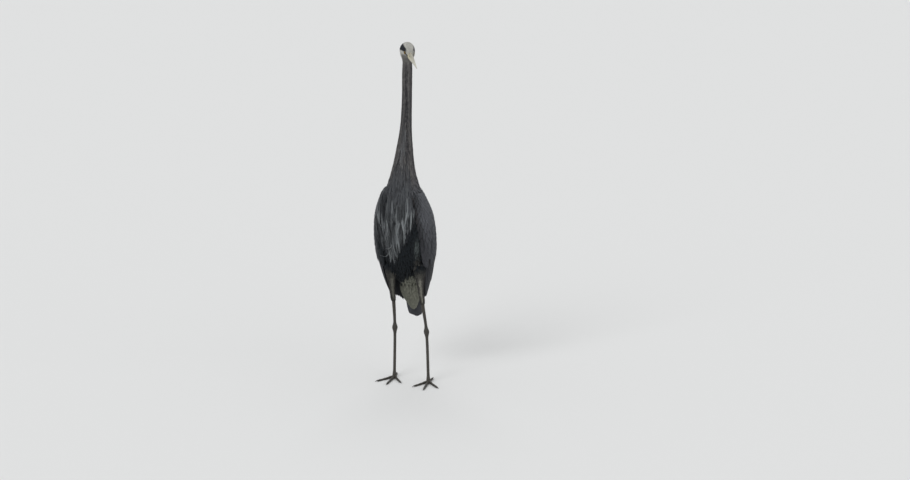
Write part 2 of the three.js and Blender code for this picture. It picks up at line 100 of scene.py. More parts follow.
WING_TOP, WING_TIP, WING_THICK = 724.0, 236.0, 21.0
SCAPULAR_TOP, SCAPULAR_TIP, SCAPULAR_THICK = 716.0, 330.0, 7.0
EDGE_SINK = 4.0  # how far the edges of the wings and back plumes dip under the body's outline
COVERT_RUN = 290.0  # the drop over which the coverts grow from the smallest to the greatest
TAIL_ROOT, TAIL_LENGTH, TAIL_HALF, TAIL_LEAN, TAIL_VEER = 360.0, 181.0, 21.0, 22 * DEG, 0.05
TAIL_BACK = 74.0
UNDERTAIL_ROOT, UNDERTAIL_LENGTH, UNDERTAIL_HALF, UNDERTAIL_THICK = 402.0, 170.0, 37.0, 24.0

LEGS = {
    "right": dict(side=-1, hip=(-52, -2, 442), knee=(-51, -4, 370), hem=(-46, 12, 285),
                  hock=(-45, 24, 182), foot=(-42, 6, 3)),
    "left": dict(side=1, hip=(56, -12, 442), knee=(60, -18, 370), hem=(67, -13, 285),
                 hock=(80, -11, 182), foot=(93, -34, 3)),
}
TOES = {  # turned from straight ahead, length, claw
    "inner": (-30, 74, 13),
    "middle": (3, 96, 15),
    "outer": (36, 80, 13),
    "hind": (176, 50, 18),
}
THIGH_TOP, THIGH_FOOT, THIGH_TAPER = 31.0, 8.5, 2.2
SOLE = 3.4  # a toe's centre over the ground
SHANK_PLATES, TOE_PLATES = (5.2, 0.75), (3.4, 0.6)  # pitch of the grooves, and their width
GROOVE_DEPTH = 0.42

HEAD_BLEND, THIGH_BLEND, TAIL_BLEND = 22.0, 10.0, 8.0  # widths over which forms run together
TRUNK_COAT, NECK_COAT, HEAD_COAT = 7.0, 2.6, 1.6  # how deep the skin lies in the feathers
SKIN_VOXEL, LEG_VOXEL = 2.4, 0.75
VANE_UNIT = 100.0  # millimetres in one unit of the map along and across a feather
BAKE_MARGIN, BAKE_PATCH = 0.02, 0.003  # of the baking map: its border, and the room of one feather
FRAME_WIDTH, CAMERA_DISTANCE = 3.276, 60.0  # metres, at the bird and from it
AIM_RIGHT, AIM_UP = 0.1646, 0.505  # the middle of the picture from the frame's origin, metres
SENSOR = 36.0
FLOOR_HALF = 60000.0

# ---------------------------------------------------------------- small numeric tools


def mix(a, b, t):
    """A straight run from a at t = 0 to b at t = 1."""
    return a + (b - a) * t


def paint(colour, other, amount):
    """Colours mixed point by point: an amount of 0 keeps the first and 1 gives the other."""
    return mix(colour, other, np.asarray(amount)[..., None])


def ease(value, start, end):
    """A smooth step from 0 at start to 1 at end, flat at both."""
    t = np.clip((value - start) / (end - start), 0, 1)
    return t * t * (3 - 2 * t)


def bell(value, middle, width):
    """A smooth hump of height 1."""
    return np.exp(-((value - middle) / width) ** 2)


def quarter(t):
    """A quarter circle: 0 at t = 0, 1 from t = 1 on."""
    return np.sqrt(1 - (1 - np.clip(t, 0, 1)) ** 2)


def circle(many):
    """Angles evenly round a full turn."""
    return np.linspace(0, 2 * np.pi, many, endpoint=False)


def through(at, values):
    """A cubic through the stations, its slope at each that of the chord between its neighbours."""
    order = np.argsort(at)
    x, y = at[order], values[order]
    wide = x.reshape(-1, *[1] * (y.ndim - 1))
    slope = np.empty_like(y)
    slope[1:-1] = (y[2:] - y[:-2]) / (wide[2:] - wide[:-2])
    slope[0] = (y[1] - y[0]) / (x[1] - x[0])
    slope[-1] = (y[-1] - y[-2]) / (x[-1] - x[-2])

    def curve(value):
        v = np.clip(value, x[0], x[-1])
        i = np.clip(np.searchsorted(x, v, side="right") - 1, 0, len(x) - 2)
        shape = np.shape(v) + (1,) * (y.ndim - 1)
        step = np.reshape(x[i + 1] - x[i], shape)
        t = np.reshape(v - x[i], shape) / step
        rise = y[i + 1] - y[i]
        bend = (1 - t) * (slope[i] * step - rise) - t * (slope[i + 1] * step - rise)
        return y[i] + t * rise + (1 - t) * t * bend

    return curve


def unit(v):
    """Vectors scaled to length 1."""
    return v / np.maximum(np.linalg.norm(v, axis=-1, keepdims=True), 1e-9)


def dot(a, b):
    return np.sum(a * b, axis=-1)


def from_start(start, *steps):
    """Points reached from a start by steps, each an amount and the axis it is measured along."""
    points = start
    for amount, axis in steps:
        points = points + np.asarray(amount)[..., None] * axis
    return points


def turn(axis, angle):
    """The matrix of a turn about x, y or z (0, 1 or 2) by the right-hand rule."""
    first, second = (axis + 1) % 3, (axis + 2) % 3
    matrix = np.eye(3)
    matrix[first, first] = matrix[second, second] = np.cos(angle)
    matrix[second, first], matrix[first, second] = np.sin(angle), -np.sin(angle)
    return matrix


def smooth_min(a, b, k):
    """The smaller of two distances, blended over a width of k."""
    h = np.clip(0.5 + 0.5 * (b - a) / k, 0, 1)
    return mix(b, a, h) - k * h * (1 - h)


def srgb(*rgb):
    """A display colour, 0 to 255 a channel, as linear light."""
    c = np.array(rgb, float) / 255
    return np.where(c <= 0.04045, c / 12.92, ((c + 0.055) / 1.055) ** 2.4)


# ---------------------------------------------------------------- forms of flesh


class Stack:
    """A body made of slices along an axis. Each slice is two half ellipses back to back.

    A point is given by its place along the axis, an angle round it and a lift off the surface. The
    slices shrink to nothing along a quarter circle at each end. The rows of axes are the slice's x,
    the slice's y and the axis itself. drift moves the centres in y where the low end closes.
    """

    def __init__(self, rows, low, low_round, high, high_round, axes=np.eye(3), origin=(0, 0, 0),
                 drift=0.0):
        names = ("x", "y", "wide", "front", "back")
        self.curve = {name: through(rows[:, 0], rows[:, i + 1]) for i, name in enumerate(names)}
        self.low, self.low_round, self.high, self.high_round = low, low_round, high, high_round
        self.axes = np.array(axes, float)
        self.origin = np.array(origin, float)
        self.drift = drift

    def share(self, z):
        """How much of a slice's full size is left by the rounding of the ends."""
        return np.minimum(quarter((z - self.low) / self.low_round),
                          quarter((self.high - z) / self.high_round))

    def centre(self, z):
        closed = 1 - quarter((z - self.low) / self.low_round)
        return self.curve["x"](z), self.curve["y"](z) + self.drift * closed

    def surface(self, z, angle, lift=0.0):
        """The slice's centre, plus its half axes and the lift times the sine and cosine."""
        share = self.share(z)
        x, y = self.centre(z)
        reach = np.where(np.cos(angle) > 0, self.curve["front"](z), self.curve["back"](z))
        local = np.stack(np.broadcast_arrays(
            x + (self.curve["wide"](z) * share + lift) * np.sin(angle),
            y - (reach * share + lift) * np.cos(angle),
            z), axis=-1)
        return local @ self.axes + self.origin

    def local(self, points):
        return (points - self.origin) @ self.axes.T

    def angle(self, points):
        """A point's angle round its slice's centre."""
        p = self.local(points)
        x, y = self.centre(p[..., 2])
        return np.arctan2(p[..., 0] - x, y - p[..., 1])

    def distance(self, points):
        """How far a point is outside the surface, measured in its own slice."""
        p = self.local(points)
        z = p[..., 2]
        share = np.maximum(self.share(z), 0.02)
        x, y = self.centre(z)
        dx, dy = p[..., 0] - x, p[..., 1] - y
        reach = np.where(dy < 0, self.curve["front"](z), self.curve["back"](z)) * share
        q = np.sqrt((dx / (self.curve["wide"](z) * share)) ** 2 + (dy / reach) ** 2)
        radius = np.sqrt(dx * dx + dy * dy) / np.maximum(q, 1e-6)
        past = np.maximum(0, np.maximum(self.low - z, z - self.high))
        return (q - 1) * radius + 0.7 * past


HEAD_TURN = turn(2, HEAD_YAW) @ turn(0, HEAD_PITCH) @ turn(1, HEAD_ROLL)


def in_head(points):
    """From the head's own frame (to its left, behind the bill's root, up) to the design frame."""
    return np.asarray(points, float) @ HEAD_TURN.T + BILL_ROOT


def to_head(points):
    """From the design frame to the head's own."""
    return (points - BILL_ROOT) @ HEAD_TURN


def thigh_stack(leg):
    """The feathered thigh: slices from the hip to the feathers' hem, thinning downwards."""
    hip, knee, hem = (np.array(leg[name], float) for name in ("hip", "knee", "hem"))
    t = np.linspace(0, 1, 7)
    # A parabola through the three points stands for the bend of the knee.
    line = (np.outer((1 - t) * (1 - 2 * t), hip) + np.outer(4 * t * (1 - t), knee)
            + np.outer(t * (2 * t - 1), hem))
    radius = mix(THIGH_FOOT, THIGH_TOP, (1 - t) ** THIGH_TAPER)
    deep = radius * (1.2 + 2.4 * t * (1 - t))
    rows = np.column_stack([line[:, 2], line[:, 0], line[:, 1], radius, deep, deep])
    return Stack(rows, hem[2] - 1, 8.0, hip[2], 30.0)


def undertail_stack():
    """The feathers under the tail: slices down it, whose y runs from its top to its underside."""
    t = np.linspace(0, 1, 9)
    wide = UNDERTAIL_HALF * mix(0.72, 1, ease(t, 0, 0.5)) * (1 - 0.4 * ease(t, 0.45, 1))
    deep = UNDERTAIL_THICK * mix(1.15, 0.55, t)
    start = TAIL_ROOT - UNDERTAIL_ROOT
    down = start + UNDERTAIL_LENGTH * t
    under = 0.55 * UNDERTAIL_THICK + 4 * t
    rows = np.column_stack([down, TAIL_VEER * down, under, wide, deep, deep])
    c, s = np.cos(TAIL_LEAN), np.sin(TAIL_LEAN)
    axes = np.array([(1, 0, 0), (0, -c, -s), (0, s, -c)])
    return Stack(rows, start, 17.0, start + UNDERTAIL_LENGTH, 85.0, axes, (0, TAIL_BACK, TAIL_ROOT))


body = Stack(BODY, TRUNK_END, TRUNK_ROUNDING, NECK_TOP, NECK_ROUNDING, drift=TRUNK_DRIFT)
envelope = Stack(BODY, 100.0, 1.0, NECK_TOP, NECK_ROUNDING)  # the body's outline, open below
# The head's slices: x is its left, -y its top, and the axis runs backwards.
head_axes = np.array([HEAD_TURN[:, 0], -HEAD_TURN[:, 2], HEAD_TURN[:, 1]])
head = Stack(HEAD, 0.0, 0.05 * HEAD_LENGTH, HEAD_LENGTH, 0.3 * HEAD_LENGTH, head_axes, BILL_ROOT)
thighs = {name: thigh_stack(leg) for name, leg in LEGS.items()}
undertail = undertail_stack()


def face_relief(points):
    """How far the face stands out: brows and cheeks out, eye sockets and lores in, all as humps."""
    p = to_head(points)
    side, back, up = np.abs(p[..., 0]), p[..., 1], p[..., 2]
    beside = ease(side, 6, 13)
    brow = 2.0 * bell(back, 22, 16) * bell(up, 12.0, 3.6)
    cheek = 1.2 * bell(back, 50, 15) * bell(up, -7, 9)
    socket = 1.5 * bell(np.hypot(back - EYE_BACK, up - EYE_UP), 0, 9.5)
    groove = 0.9 * bell(back, 12, 12) * bell(up, 1.0, 3.5)
    return (brow + cheek - socket - groove) * beside


def flesh(points):
    """Distance outside the head, neck, trunk, thighs and undertail, run smoothly together."""
    skull = head.distance(points) - face_relief(points)
    inside = 1.5 * np.maximum(points[..., 2] - 1203, 0)  # keeps the neck from lifting the crown
    d = smooth_min(body.distance(points) + inside, skull, HEAD_BLEND)
    for thigh in thighs.values():
        d = smooth_min(d, thigh.distance(points), THIGH_BLEND)
    return smooth_min(d, undertail.distance(points), TAIL_BLEND)


def wing_edges(z):
    """The angles round the body between which a folded wing lies, at a height."""
    down = (WING_TOP - z) / (WING_TOP - WING_TIP)
    front = mix(40, 62, ease(down, 0, 1)) + 36 * ease(down, 0.72, 1)
    back = mix(112, 177, ease(down, 0, 0.34))
    return front * DEG, back * DEG


def wing_height(z, angle):
    """How far a folded wing stands out from the body: a lens between its edges."""
    down = (WING_TOP - z) / (WING_TOP - WING_TIP)
    front, back = wing_edges(z)
    across = (np.abs(angle) - (front + back) / 2) / ((back - front) / 2)
    thick = WING_THICK * mix(0.72, 1, ease(down, 0, 0.25)) * mix(1, 0.5, ease(down, 0.45, 1))
    thick = thick * (1 - 0.3 * across)
    end = np.minimum(quarter(down / 0.06), quarter((1 - down) / 0.1))
    height = (thick + EDGE_SINK) * np.sqrt(np.maximum(0, 1 - across * across)) * end - EDGE_SINK
    return np.where((down > 0) & (down < 1), height, -EDGE_SINK)


def scapular_edges(z):
    """The angles round the body between which the plumes of one shoulder lie, at a height."""
    down = (SCAPULAR_TOP - z) / (SCAPULAR_TOP - SCAPULAR_TIP)
    return mix(122, 158, ease(down, 0.1, 1)) * DEG, 179.2 * DEG


def scapular_height(z, angle):
    """How far the shoulders' plumes stand out, over the wings' inner edges: a lens."""
    down = (SCAPULAR_TOP - z) / (SCAPULAR_TOP - SCAPULAR_TIP)
    first, last = scapular_edges(z)
    across = np.clip((np.abs(angle) - (first + last) / 2) / ((last - first) / 2), -1, 1)
    wing = WING_THICK * mix(1, 0.62, ease(down, 0.3, 1)) * np.sqrt(0.9 - 0.5 * across)
    end = np.minimum(ease(down, 0, 0.2), quarter((1 - down) / 0.1))
    thick = wing + SCAPULAR_THICK + EDGE_SINK
    height = thick * np.sqrt(1 - across * across) * end - EDGE_SINK
    return np.where((down > 0) & (down < 1), height, -EDGE_SINK)


def wing_field(points):
    """Distance outside the folded wings."""
    relief = wing_height(points[..., 2], envelope.angle(points))
    return envelope.distance(points) - np.maximum(relief, 0)


def back_field(points):
    """Distance outside the folded wings and the plumes of the back."""
    z, angle = points[..., 2], envelope.angle(points)
    relief = np.maximum(wing_height(z, angle), scapular_height(z, angle))
    return envelope.distance(points) - np.maximum(relief, 0)


def outside(points):
    """Distance outside the flesh and the wings' shoulders, which thin out towards the vent."""
    z, angle = points[..., 2], body.angle(points)
    relief = np.maximum(wing_height(z, angle), 0) * ease(z, 400, 480)
    return flesh(points) - relief


def slope(field, points, step=0.6):
    """Gradient of a field by central differences."""
    grad = np.empty_like(points)
    for axis in range(3):
        nudge = np.zeros(3)
        nudge[axis] = step
        grad[..., axis] = (field(points + nudge) - field(points - nudge)) / (2 * step)
    return grad


def settle(field, points, rounds):
    """Moves points on to the surface where a field is 0, by Newton's steps along its gradient."""
    for _ in range(rounds):
        grad = slope(field, points)
        size = np.maximum(dot(grad, grad), 0.15)
        points = points - grad * (field(points) / size)[..., None]
    return points


# ---------------------------------------------------------------- meshes

# The frame's origin stands under the middle of the outline. An eye shows how far that is from here.
eye_low, eye_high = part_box("eye_left")
eye_design = in_head((EYE_SIDE, EYE_BACK, EYE_UP))
SHIFT = (np.array(eye_low) + np.array(eye_high)) / 2 - eye_design * METRE


def to_frame(points):
    """From the design frame in millimetres to the shared frame in metres."""
    return np.asarray(points, float) * METRE + SHIFT


def new_mesh(name, verts, loops, starts, smooth=None):
    """An object from points in millimetres and corner lists."""
    mesh = bpy.data.meshes.new(name)
    mesh.vertices.add(len(verts))
    mesh.vertices.foreach_set("co", to_frame(verts).ravel().astype(np.float32))
    mesh.loops.add(len(loops))
    mesh.loops.foreach_set("vertex_index", np.asarray(loops, np.int32))
    mesh.polygons.add(len(starts))
    mesh.polygons.foreach_set("loop_start", np.asarray(starts, np.int32))
    mesh.update(calc_edges=True)
    if smooth is None:
        smooth = np.ones(len(starts), bool)
    mesh.polygons.foreach_set("use_smooth", smooth)
    obj = bpy.data.objects.new(name, mesh)
    bpy.context.scene.collection.objects.link(obj)
    return obj


def set_tint(mesh, rgb):
    """Stores a colour for each point, which the materials read."""
    layer = mesh.color_attributes.new(name="Tint", type="FLOAT_COLOR", domain="POINT")
    rgba = np.ones((len(rgb), 4), np.float32)
    rgba[:, :3] = rgb
    layer.data.foreach_set("color", rgba.ravel())


def set_uv(mesh, name, uv, loops):
    """Stores a map given at the points."""
    layer = mesh.uv_layers.new(name=name)
    layer.data.foreach_set("uv", np.asarray(uv, np.float32)[loops].ravel())


def tube_faces(rings, sides):
    """Corner lists of a closed tube: rings of points one after another, a point at each end."""
    ring = np.arange(rings)[:, None] * sides
    side = np.arange(sides)
    nxt = (side + 1) % sides
    corners = [ring[:-1] + side, ring[:-1] + nxt, ring[1:] + nxt, ring[1:] + side]
    quads = np.stack([corner.ravel() for corner in corners], 1)
    first, last = rings * sides, rings * sides + 1
    low = np.stack([nxt, side, np.full(sides, first)], 1)
    top = (rings - 1) * sides
    high = np.stack([top + side, top + nxt, np.full(sides, last)], 1)
    loops = np.concatenate([quads.ravel(), low.ravel(), high.ravel()])
    ends = len(quads) * 4 + np.arange(2 * sides) * 3
    return loops, np.concatenate([np.arange(len(quads)) * 4, ends])


def tube(name, grid):
    """A closed tube from a grid of points, rings by sides; a point closes it at each end."""
    rings, sides, _ = grid.shape
    middle = grid[rings // 2]
    face = np.cross(middle[1] - middle[0], grid[rings // 2 + 1, 0] - middle[0])
    order = -1 if np.dot(face, middle[0] - middle.mean(0)) < 0 else 1  # faces point outwards
    verts = np.concatenate([grid[:, ::order].reshape(-1, 3), grid[:1].mean(1), grid[-1:].mean(1)])
    return new_mesh(name, verts, *tube_faces(rings, sides))


def ring(name, grid):
    """A closed ring from a grid of points that joins up both ways."""
    rows, sides, _ = grid.shape
    i, j = np.meshgrid(np.arange(rows), np.arange(sides), indexing="ij")
    up, on = (i + 1) % rows, (j + 1) % sides
    corners = [i * sides + j, i * sides + on, up * sides + on, up * sides + j]
    quads = np.stack(corners, -1).reshape(-1, 4)
    face = np.cross(grid[0, 1] - grid[0, 0], grid[1, 0] - grid[0, 0])
    if np.dot(face, grid[0, 0] - grid[0].mean(0)) < 0:
        quads = quads[:, ::-1]
    return new_mesh(name, grid.reshape(-1, 3), quads.ravel(), np.arange(len(quads)) * 4)


def read_points(mesh):
    """A mesh's points in the design frame."""
    co = np.empty(len(mesh.vertices) * 3, np.float32)
    mesh.vertices.foreach_get("co", co)
    return (co.reshape(-1, 3).astype(float) - SHIFT) / METRE


def write_points(mesh, points):
    mesh.vertices.foreach_set("co", to_frame(points).ravel().astype(np.float32))
    mesh.update()


def fuse(name, objects, voxel, smooth_rounds):
    """Joins closed meshes into one even skin: a voxel remesh of them all, then some smoothing."""
    joined = objects[0]
    for obj in objects:
        obj.select_set(True)
    bpy.context.view_layer.objects.active = joined
    with bpy.context.temp_override(active_object=joined, selected_editable_objects=objects):
        bpy.ops.object.join()
    joined.name = joined.data.name = name
    remesh = joined.modifiers.new("even", "REMESH")
    remesh.mode = "VOXEL"
    remesh.voxel_size = voxel * METRE
    joined.modifiers.new("relax", "SMOOTH").iterations = smooth_rounds
    graph = bpy.context.evaluated_depsgraph_get()
    even = bpy.data.meshes.new_from_object(joined.evaluated_get(graph))
    even.polygons.foreach_set("use_smooth", np.ones(len(even.polygons), bool))
    old = joined.data
    joined.modifiers.clear()
    joined.data = even
    even.name = name
    bpy.data.meshes.remove(old)
    return joined


# ---------------------------------------------------------------- materials


def rgba(colour):
    return (*[float(c) for c in colour], 1.0)


class Nodes:
    """The nodes of a material or world, built by short calls that return output sockets."""

    def __init__(self, owner, shader="Principled BSDF"):
        owner.use_nodes = True
        self.owner, self.tree = owner, owner.node_tree
        self.shader = self.tree.nodes[shader]

    def put(self, socket, value):
        if isinstance(value, bpy.types.NodeSocket):
            self.tree.links.new(value, socket)
        else:
            socket.default_value = value

    def node(self, kind, inputs=(), **settings):
        made = self.tree.nodes.new(kind)
        for key, value in settings.items():
            setattr(made, key, value)
        for key, value in dict(inputs).items():
            self.put(made.inputs[key], value)
        return made

    def finish(self, sockets):
        """Fills the shader's sockets and hands over the material or world."""
        for key, value in sockets.items():
            self.put(self.shader.inputs[key], value)
        return self.owner

    def maths(self, operation, a, b=0.0):
        return self.node("ShaderNodeMath", {0: a, 1: b}, operation=operation).outputs[0]

    def blend(self, factor, a, b, kind="MIX"):
        inputs = {0: factor, 6: a, 7: b}
        return self.node("ShaderNodeMix", inputs, data_type="RGBA", blend_type=kind).outputs[2]

    def tint(self):
        return self.node("ShaderNodeVertexColor", layer_name="Tint").outputs["Color"]

    def shaded(self, colour, *shades):
        """A colour times one grey shade, or the product of two."""
        shade = shades[0] if len(shades) == 1 else self.maths("MULTIPLY", *shades)
        grey = self.node("ShaderNodeCombineXYZ", {0: shade, 1: shade, 2: shade}).outputs[0]
        return self.blend(1.0, colour, grey, "MULTIPLY")

    def place(self, stretch=None):
        """The place on the object, stretched along its axes where a pattern is."""
        coords = self.node("ShaderNodeTexCoord").outputs["Object"]
        if stretch is None:
            return coords
        return self.node("ShaderNodeMapping", {"Vector": coords, "Scale": stretch}).outputs[0]

    def map_parts(self, name):
        """The two parts of one of the piece's own maps."""
        uv = self.node("ShaderNodeUVMap", uv_map=name).outputs["UV"]
        return self.node("ShaderNodeSeparateXYZ", {0: uv}).outputs

    def noise(self, scale, detail=3.0, roughness=0.5, stretch=None):
        made = self.node("ShaderNodeTexNoise", {"Vector": self.place(stretch), "Scale": scale,
                                                "Detail": detail, "Roughness": roughness})
        return made.outputs["Fac"]

    def remap(self, value, low, high, to_low=0.0, to_high=1.0):
        inputs = {0: value, 1: low, 2: high, 3: to_low, 4: to_high}
        return self.node("ShaderNodeMapRange", inputs).outputs[0]

    def grain(self, noise, to_low, to_high):
        """A shade that follows a noise, whose values lie mostly between 0.3 and 0.7."""
        return self.remap(noise, 0.3, 0.7, to_low, to_high)

    def bump(self, height, distance):
        inputs = {"Height": height, "Distance": distance, "Strength": 1.0}
        return self.node("ShaderNodeBump", inputs).outputs["Normal"]


def material(name):
    return Nodes(bpy.data.materials.new(name))


def feather_material(name, roughness, barb, relief, shaft):
    """Vanes: their own colour, barbs as fine slanting ridges, and a thin shaft line.

    The barbs are a sine wave, at a pitch of barb metres, of the way along the vane less 1.2 times
    that across it, so that they lean forward by about 40 degrees from the shaft.
    """
    n = material(name)
    parts = n.map_parts("Vane")
    across = n.maths("ABSOLUTE", n.maths("SUBTRACT", parts["X"], 0.5))
    lean = n.maths("SUBTRACT", parts["Y"], n.maths("MULTIPLY", across, 1.2))
    lean = n.maths("ADD", lean, n.maths("MULTIPLY", n.noise(60.0, 2.0), 0.012))
    ridges = n.maths("SINE", n.maths("MULTIPLY", lean, 2 * np.pi * VANE_UNIT * METRE / barb))
    shaft_line = n.remap(across, 0.0, 0.006, 1.0, 0.0)
    patchy = n.grain(n.noise(90.0, 4.0, 0.6), 0.86, 1.12)
    colour = n.shaded(n.tint(), patchy, n.remap(ridges, -1.0, 1.0, 0.9, 1.06))
    dark = n.blend(0.5, colour, rgba((0.02, 0.02, 0.022)))
    height = n.maths("ADD", n.maths("MULTIPLY", ridges, 0.5), n.maths("MULTIPLY", shaft_line, 1.5))
    return n.finish({"Base Color": n.blend(n.maths("MULTIPLY", shaft_line, shaft), colour, dark),
                     "Roughness": roughness, "Specular IOR Level": 0.25,
                     "Normal": n.bump(height, relief)})


def skin_material():
    """Skin under the feathers, with their markings, mottled at the scale of small feathers."""
    n = material("skin_with_markings")
    streaks = n.noise(420.0, 4.0, 0.6, stretch=(1.0, 1.0, 0.25))
    return n.finish({"Base Color": n.shaded(n.tint(), n.grain(streaks, 0.75, 1.0)),
                     "Roughness": 0.85, "Specular IOR Level": 0.2,
                     "Normal": n.bump(streaks, 0.0006)})


def horn_material(name, relief):
    """Smooth horn in its own colour, with fine growth lines along it and faint scuffs."""
    n = material(name)
    lines = n.noise(500.0, stretch=(1.0, 0.12, 1.0))
    cloud = n.noise(70.0)
    colour = n.shaded(n.tint(), n.grain(lines, 0.92, 1.03), n.grain(cloud, 0.97, 1.02))
    return n.finish({"Base Color": colour, "Roughness": n.grain(cloud, 0.36, 0.44),
                     "Normal": n.bump(lines, relief)})


def bare_skin_material(name, colour):
    """Bare, finely wrinkled skin."""
    n = material(name)
    wrinkles = n.noise(700.0, 4.0, 0.6)
    shades = n.grain(wrinkles, 0.8, 1.1), n.grain(n.noise(110.0), 0.85, 1.1)
    return n.finish({"Base Color": n.shaded(rgba(colour), *shades), "Roughness": 0.55,
                     "Normal": n.bump(wrinkles, 0.0003)})


def scale_material(name):
    """Leg skin in its own colour, with small rounded scales between the plates."""
    n = material(name)
    cells = n.node("ShaderNodeTexVoronoi", {"Vector": n.place(), "Scale": 520.0},
                   feature="DISTANCE_TO_EDGE")
    edge = n.remap(cells.outputs["Distance"], 0.0, 0.12)
    shades = n.remap(edge, 0.0, 1.0, 0.72, 1.0), n.grain(n.noise(90.0, 4.0), 0.8, 1.15)
    return n.finish({"Base Color": n.shaded(n.tint(), *shades), "Roughness": 0.55,
                     "Normal": n.bump(edge, 0.0003)})


def eye_material(name):
    """Yellow iris, dulled to amber by painted shade from the brow, with fine spokes and a dark rim
    round a black pupil, under a clear wet coat.

    Each part is a band of the angle from the line of sight, in radians.
    """
    n = material(name)
    angle = n.maths("MULTIPLY", n.map_parts("Iris")["X"], np.pi)
    spokes = n.remap(n.noise(900.0), 0.35, 0.65)
    # painted shade: the iris's yellows are painted dull amber for the brow's shade over the eye
    yellow = n.blend(spokes, rgba(srgb(136, 108, 38)), rgba(srgb(168, 142, 62)))
    inner = n.remap(angle, 0.38, 0.54, 1.0, 0.0)
    yellow = n.blend(n.maths("MULTIPLY", inner, 0.5), yellow, rgba(srgb(128, 92, 30)))
    colour = n.blend(n.remap(angle, 0.65, 0.72), yellow, rgba(srgb(26, 21, 14)))
    pupil = n.remap(angle, 0.36, 0.375, 1.0, 0.0)
    return n.finish({"Base Color": n.blend(pupil, colour, rgba((0.002, 0.002, 0.002))),
                     "Roughness": 0.3, "Specular IOR Level": 0.1, "Coat Weight": 0.22,
                     "Coat IOR": 1.34, "Coat Roughness": 0.02})


# ---------------------------------------------------------------- markings

WHITE = srgb(214, 213, 206)
# painted shade: the chin, white in life, is painted grey for the shade under the head
CHIN_PAINTED_SHADE = srgb(132, 131, 127)
# painted sheen: the black crown stripe is painted dark slate, paler than black, for its gloss
STRIPE_WITH_PAINTED_SHEEN = srgb(44, 46, 53)
BLACK = srgb(22, 23, 27)
NECK = srgb(90, 88, 89)
NECK_DUSKY = srgb(72, 71, 74)
NECK_PALE = srgb(136, 134, 131)
NECK_DARK = srgb(38, 38, 42)
SLATE = srgb(84, 86, 91)
SLATE_DARK = srgb(52, 53, 58)
CHEST = srgb(80, 82, 87)
BELLY = srgb(12, 19, 24)
FLANK = srgb(70, 76, 76)
PLUME_PALE = srgb(152, 157, 160)
PLUME_DARK = srgb(26, 29, 33)
FLIGHT = srgb(42, 43, 47)
RUFOUS = srgb(60, 59, 56)
RUFOUS_PALE = srgb(112, 94, 82)
THIGH_PALE = srgb(118, 117, 109)
THIGH_DULL = srgb(48, 46, 45)
# painted shade: the undertail, white in life, is painted greyish for the shade under the body
UNDERTAIL = srgb(116, 117, 106)
BILL_YELLOW = srgb(190, 182, 150)
BILL_PALE = srgb(190, 188, 174)
BILL_DUSK = srgb(118, 114, 102)
LID = srgb(50, 50, 46)
LORE = srgb(60, 62, 60)
LEG_DARK = srgb(42, 40, 35)
LEG_PALE = srgb(62, 58, 50)
LEG_THIGH = srgb(54, 50, 43)
CLAW = srgb(34, 31, 28)


def head_colours(points):
    """White face and crown, a black stripe over and behind each eye with painted sheen, and the
    white chin painted grey as painted shade under the head.
    """
    p = to_head(points)
    side, back, up = np.abs(p[:, 0]), p[:, 1], p[:, 2]
    lean = np.arctan2(side, up)  # 0 at the top of the head
    inner = mix(0.68, 0.0, ease(back, 62, 104))
    outer = mix(1.25, 1.55, ease(back, 22, 60))
    stripe = ease(lean, inner - 0.10, inner + 0.06) * (1 - ease(lean, outer - 0.06, outer + 0.08))
    stripe = stripe * ease(back + 10 * (lean - 0.9), 12, 22)
    # painted shade: the underside of the head is painted grey
    grey = ease(lean, 1.6, 2.1) * (1 - ease(back, 34, 62) * (1 - ease(lean, 2.0, 2.7)))
    return paint(paint(WHITE, CHIN_PAINTED_SHADE, grey), STRIPE_WITH_PAINTED_SHEEN, stripe)


def body_colours(points):
    """Grey neck, duskiest in its middle, a slate chest and back, and a black belly.

    On the left flank a grey patch and a brown one lie in front of the wing. Each marking is a
    product of smooth steps and humps of the height and the angle round the body.
    """
    z, around = points[:, 2], body.angle(points)
    a = np.abs(around)
    neck = paint(NECK, NECK_DUSKY, bell(z, 1000, 110))
    neck = paint(neck, NECK_PALE, 0.12 * (1 - ease(a, 0.55, 1.15)))
    chest = paint(SLATE, CHEST, 1 - ease(a, 1.0, 1.9))
    colour = paint(chest, neck, ease(z, 700, 820))
    hem = plume_hem(around)
    colour = paint(colour, BELLY, (1 - ease(z, hem, hem + 60)) * (1 - ease(a, 1.9, 2.4)))
    shoulder = bell(around, 46 * DEG, 12 * DEG) * bell(z, 670, 40)
    colour = paint(colour, NECK_DARK, 0.7 * shoulder)
    beside = bell(around, 44 * DEG, 7 * DEG)
    colour = paint(colour, FLANK, np.clip(1.2 * beside * bell(z, 522, 32), 0, 1))
    colour = paint(colour, RUFOUS, np.clip(1.2 * beside * bell(z, 452, 26), 0, 1))
    vent_line = 372 + 30 * np.sin(around)
    vent = 1 - ease(z, vent_line, vent_line + 12)
    return paint(colour, UNDERTAIL, vent * (1 - ease(a, 1.5, 1.9)))


def flesh_colours(points):
    """The markings of the whole coat, over the head, neck, trunk and thighs."""
    z, on_body = points[:, 2], body.distance(points)
    fade = mix(ease(z, 1128, 1180), ease(z, 1160, 1198), ease(to_head(points)[:, 1], 50, 90))
    on_head = ease(on_body - head.distance(points), -9, 7) * fade
    colour = paint(body_colours(points), head_colours(points), on_head)
    for thigh in thighs.values():
        near = 1 - ease(thigh.distance(points) - on_body, -4, 2)
        colour = paint(colour, THIGH_DULL, near * (1 - ease(z, 400, 440)))
    on_tail = 1 - ease(undertail.distance(points) - on_body, -4, 2)
    return paint(colour, UNDERTAIL, on_tail)


